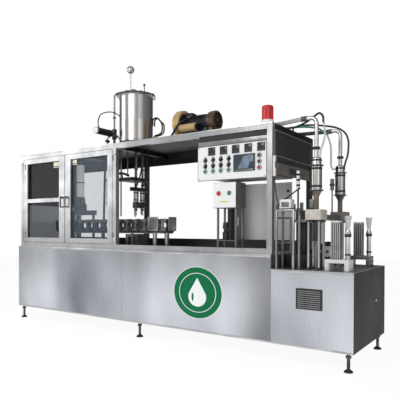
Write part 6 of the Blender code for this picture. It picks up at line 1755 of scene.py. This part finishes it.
def dress_drive_disc():
    """Disc with its hub, shaft and bolts."""
    disc = Shape()
    centre = (DISC_X, 0, DISC_Z)
    disc.turned(
        (
            (0, 0.161), (0.0845, 0.161), (0.087, 0.1635), (0.087, 0.1725), (0.0845, 0.175), (0.078, 0.175),
            (0.076, 0.1735), (0.050, 0.1735), (0.048, 0.175), (0, 0.175)
        ),
        centre, black_plastic, "-Y", 72
    )
    disc.turned(
        ((0, 0.1751), (0.046, 0.1751), (0.046, 0.187), (0.041, 0.1905), (0, 0.1905)), centre, white_plastic,
        "-Y", 56
    )
    disc.ring(0.0100, 0.0150, 0.1905, 0.1925, centre, gunmetal, "-Y")
    disc.drum(0.009, 0.1905, 0.197, centre, dark_steel, "-Y", 6)
    disc.drum(0.012, -0.1747, 0.162, centre, bright_rod, "-Y", 28)
    disc.done("drive_wheel", "drive_disc", "black_plastic", ("drive_disc",))
    hole = Shape().drum(0.0095, 0, 0.0012, ORIGIN, bright_rod, sides=20)
    places = []
    for angle in turns_round(6):
        spot = (DISC_X + 0.063 * math.cos(angle), -0.1733, DISC_Z + 0.063 * math.sin(angle))
        places.append((spot, FACING_FRONT))
    repeated("wheel_bolts", hole, places, "drive_disc")


def ribbed_outline():
    """Square of 75 mm with four grooves in each side."""
    half, pitch, depth = RIB_HALF, 2 * RIB_HALF / 9, 0.005
    outline = []
    for corner_x, corner_y, along_x, along_y in (
        (-1, -1, 1, 0), (1, -1, 0, 1), (1, 1, -1, 0), (-1, 1, 0, -1)
    ):
        start = (corner_x * half, corner_y * half)
        outline.append(start)
        inward = (-along_y * depth, along_x * depth)
        for i in range(4):
            for at, deep in ((2 * i + 1, 0), (2 * i + 1, 1), (2 * i + 2, 1), (2 * i + 2, 0)):
                x = start[0] + along_x * pitch * at + inward[0] * deep
                y = start[1] + along_y * pitch * at + inward[1] * deep
                outline.append((x, y))
    return outline


def dress_valve_stand():
    """Stand with its legs, valve box and mast, and the small pieces on the crossbar."""
    left, right, front, back = 1.418, 1.590, -0.445, -0.300
    stand = Shape()
    stand.box((left, front, 1.275), (right, back, 1.285), steel_level, 0.001)
    for x in (left, right - 0.018):
        for y in (front, back - 0.018):
            stand.box((x, y, LOW_FLOOR), (x + 0.018, y + 0.018, 1.2755), leg_steel, 0.001)
    stand.box((1.450, front + 0.018, 1.296), (1.552, front + 0.098, 1.372), white_plastic, 0.004)
    stand.box((1.462, front + 0.026, 1.285), (1.540, front + 0.090, 1.296), dark_steel)
    stand.box((1.466, front + 0.0155, 1.306), (1.536, front + 0.0180, 1.350), gunmetal, 0.001)
    mast = (1.572, -0.318, 0)
    stand.drum(0.008, 1.280, 1.462, mast, dark_steel, sides=24)
    stand.drum(0.015, 1.4615, 1.620, mast, white_plastic, sides=32)
    for z in (1.486, 1.532, 1.578):
        stand.ring(0.0150, 0.0162, z, z + 0.018, mast, black_trim_and_shade, sides=32)
    stand.ring(0.0081, 0.014, 1.285, 1.301, mast, dark_steel, sides=24)
    stand.drum(0.010, 1.2843, 1.300, (1.6800, -0.262, 0), dark_steel, sides=24)
    stand.box((1.6600, -0.2900, 1.300), (1.6980, -0.2400, 1.374), gunmetal, 0.003)
    rear = (1.676, 0.252, 0)
    stand.drum(0.007, 1.2843, 1.490, rear, dull_rod, sides=24)
    stand.drum(0.018, 1.4880, 1.596, rear, gunmetal, sides=32)
    stand.ring(0.0180, 0.0230, 1.530, 1.550, rear, black_trim_and_shade, sides=32)
    for low, high in ((1.205, 1.222), (1.000, 1.012)):
        stand.box((left + 0.018, front + 0.003, low), (right - 0.018, front + 0.013, high), dark_steel, 0.001)
    stand.drum(0.011, 1.285, 1.330, (1.432, -0.430, 0), dark_steel, sides=20)
    stand.drum(0.011, 1.285, 1.322, (1.432, -0.330, 0), dark_steel, sides=20)
    stand.box((1.500, -0.335, 1.2852), (1.545, -0.303, 1.335), dark_steel, 0.002)
    stand.done("valve_stand_body", MACHINE, "white_plate", ("valve_stand",))


# Hoses

def dress_hoses():
    """Air hoses from the blower over the roof to the columns, and the small air line."""
    on_roof = ROOF_TOP + 0.019 + 2 * GAP
    start_x, end_x = 0.5681, COLUMN_X - HOSE_BEND - 2 * GAP
    y = -0.050
    for name, side, material, slot in (
        ("grey_hose", -1, grey_rubber, "grey_hose"), ("black_hose", 1, black_rubber, "black_plastic")
    ):
        route = [(start_x, y + side * 0.036, on_roof), (start_x + 0.050, y + side * 0.036, on_roof)]
        for along, across in ((0.24, 0.43), (0.42, 0.61), (0.60, 0.74), (0.76, 0.86)):
            route.append((start_x + (end_x - start_x) * along, side * LANE_Y * across, on_roof))
        route += [
            (end_x - 0.100, side * LANE_Y * 0.97, HOSE_Z - 3 * GAP), (end_x - 0.050, side * LANE_Y, HOSE_Z),
            (end_x, side * LANE_Y, HOSE_Z)
        ]
        ridged_hose(name + "_ridged", route, 0.0190, material, (name,))
    line_z = ROOF_TOP + 0.015
    column_side = COLUMN_X - 0.0465 * 0.9 - 2 * GAP
    seat_z = 1.693
    route = (
        (1.290 + 2 * GAP, -0.100, line_z), (1.330, -0.100, line_z), (1.420, -0.085, line_z + 0.002),
        (1.520, -0.020, line_z + 0.006), (1.600, 0.090, line_z + 0.002), (1.642, 0.200, ROOF_TOP - 0.020),
        (1.650, 0.270, ROOF_TOP - 0.100), (1.646, 0.305, ROOF_TOP - 0.200), (1.642, LANE_Y, seat_z + 0.060),
        (1.652, LANE_Y, seat_z + 0.010), (column_side - 0.015, LANE_Y, seat_z),
        (column_side, LANE_Y, seat_z),
    )
    line = Shape().tube(route[:6], 0.009, green_tube, 16)
    line.tube(route[5:], 0.0088, clear_tube, 16)
    line.ring(0.0088, 0.0115, -0.206, -0.196, (1.642, 0, ROOF_TOP - 0.020), dark_steel, "-Y")
    line.done("air_line", MACHINE, "green_plastic", ("green_hose",))
    cuffs = Shape()
    for y in (-LANE_Y, LANE_Y):
        cuffs.ring(0.0191, 0.0225, 1.598, 1.648, (0, y, HOSE_Z), dark_steel, "X")
    cuffs.done("hose_cuffs", MACHINE, "polished_steel")


def dress_loose_lines():
    """Thin lines from the roof to the heater columns."""
    loose = Shape()
    loose.tube(
        (
            (1.336, 0.100, 2.0470), (1.345, 0.110, 2.090), (1.400, 0.190, 2.120), (1.485, 0.300, 2.135),
            (1.653, 0.390, 2.110), (1.745, 0.400, 2.052), (1.783, 0.385, 1.976), (1.790, 0.375, 1.905),
            (1.785, 0.365, 1.822), (1.770, 0.350, 1.760), (1.762, 0.340, 1.712)
        ),
        0.0090, black_rubber
    )
    loose.tube(
        (
            (1.350, -0.080, 2.0445), (1.380, -0.090, 2.046), (1.472, -0.120, 2.046), (1.600, -0.220, 2.050),
            (1.700, -0.280, 2.080), (1.750, -0.300, 2.094), (1.786, -0.310, 2.060), (1.790, -0.310, 2.010)
        ),
        0.0090, black_rubber
    )
    loose.tube(
        (
            (1.790, -0.310, 2.012), (1.800, -0.310, 1.960), (1.802, -0.310, 1.900), (1.786, -0.310, 1.830),
            (1.766, -0.310, 1.780), (1.760, -0.310, 1.712)
        ),
        0.0088, clear_tube
    )
    loose.done("loose_lines", MACHINE, "black_plastic")


def dress_pillar_box():
    """Small pale box on the right pillar, with its cable."""
    small = Shape()
    small.box((STEP_X + 0.0002, -0.4620, 1.573), (STEP_X + 0.020, -0.4300, 1.748), white_plastic, 0.004)
    small.box((STEP_X + 0.0200, -0.4560, 1.640), (STEP_X + 0.0208, -0.4360, 1.700), gunmetal, 0.0004)
    small.tube(
        (
            (STEP_X + 0.010, -0.446, 1.5732), (STEP_X + 0.010, -0.446, 1.55),
            (STEP_X + 0.014, -0.430, 1.45), (STEP_X + 0.024, -0.400, 1.34), (STEP_X + 0.060, -0.375, 1.2875)
        ),
        0.005, black_rubber
    )
    small.done("pillar_box", MACHINE, "white_plate")


scene.view_settings.view_transform = "Standard"
set_camera()
set_lamps()
studio_world()
set_floor()
dress_base()
dress_round_mark()
dress_vent()
dress_base_trim()
dress_tank()
dress_inlet_valve()
dress_tank_lines()
dress_lid_clamps()
dress_blower()
dress_beacon()
dress_controls()
dress_lower_box()
dress_doors()
dress_end_wall()
dress_roof()
dress_track()
dress_filler()
dress_filling_heads()
dress_left_bay()
dress_heater_columns()
dress_press_station()
dress_ribbed_columns()
dress_drive_disc()
dress_valve_stand()
dress_hoses()
dress_loose_lines()
dress_pillar_box()
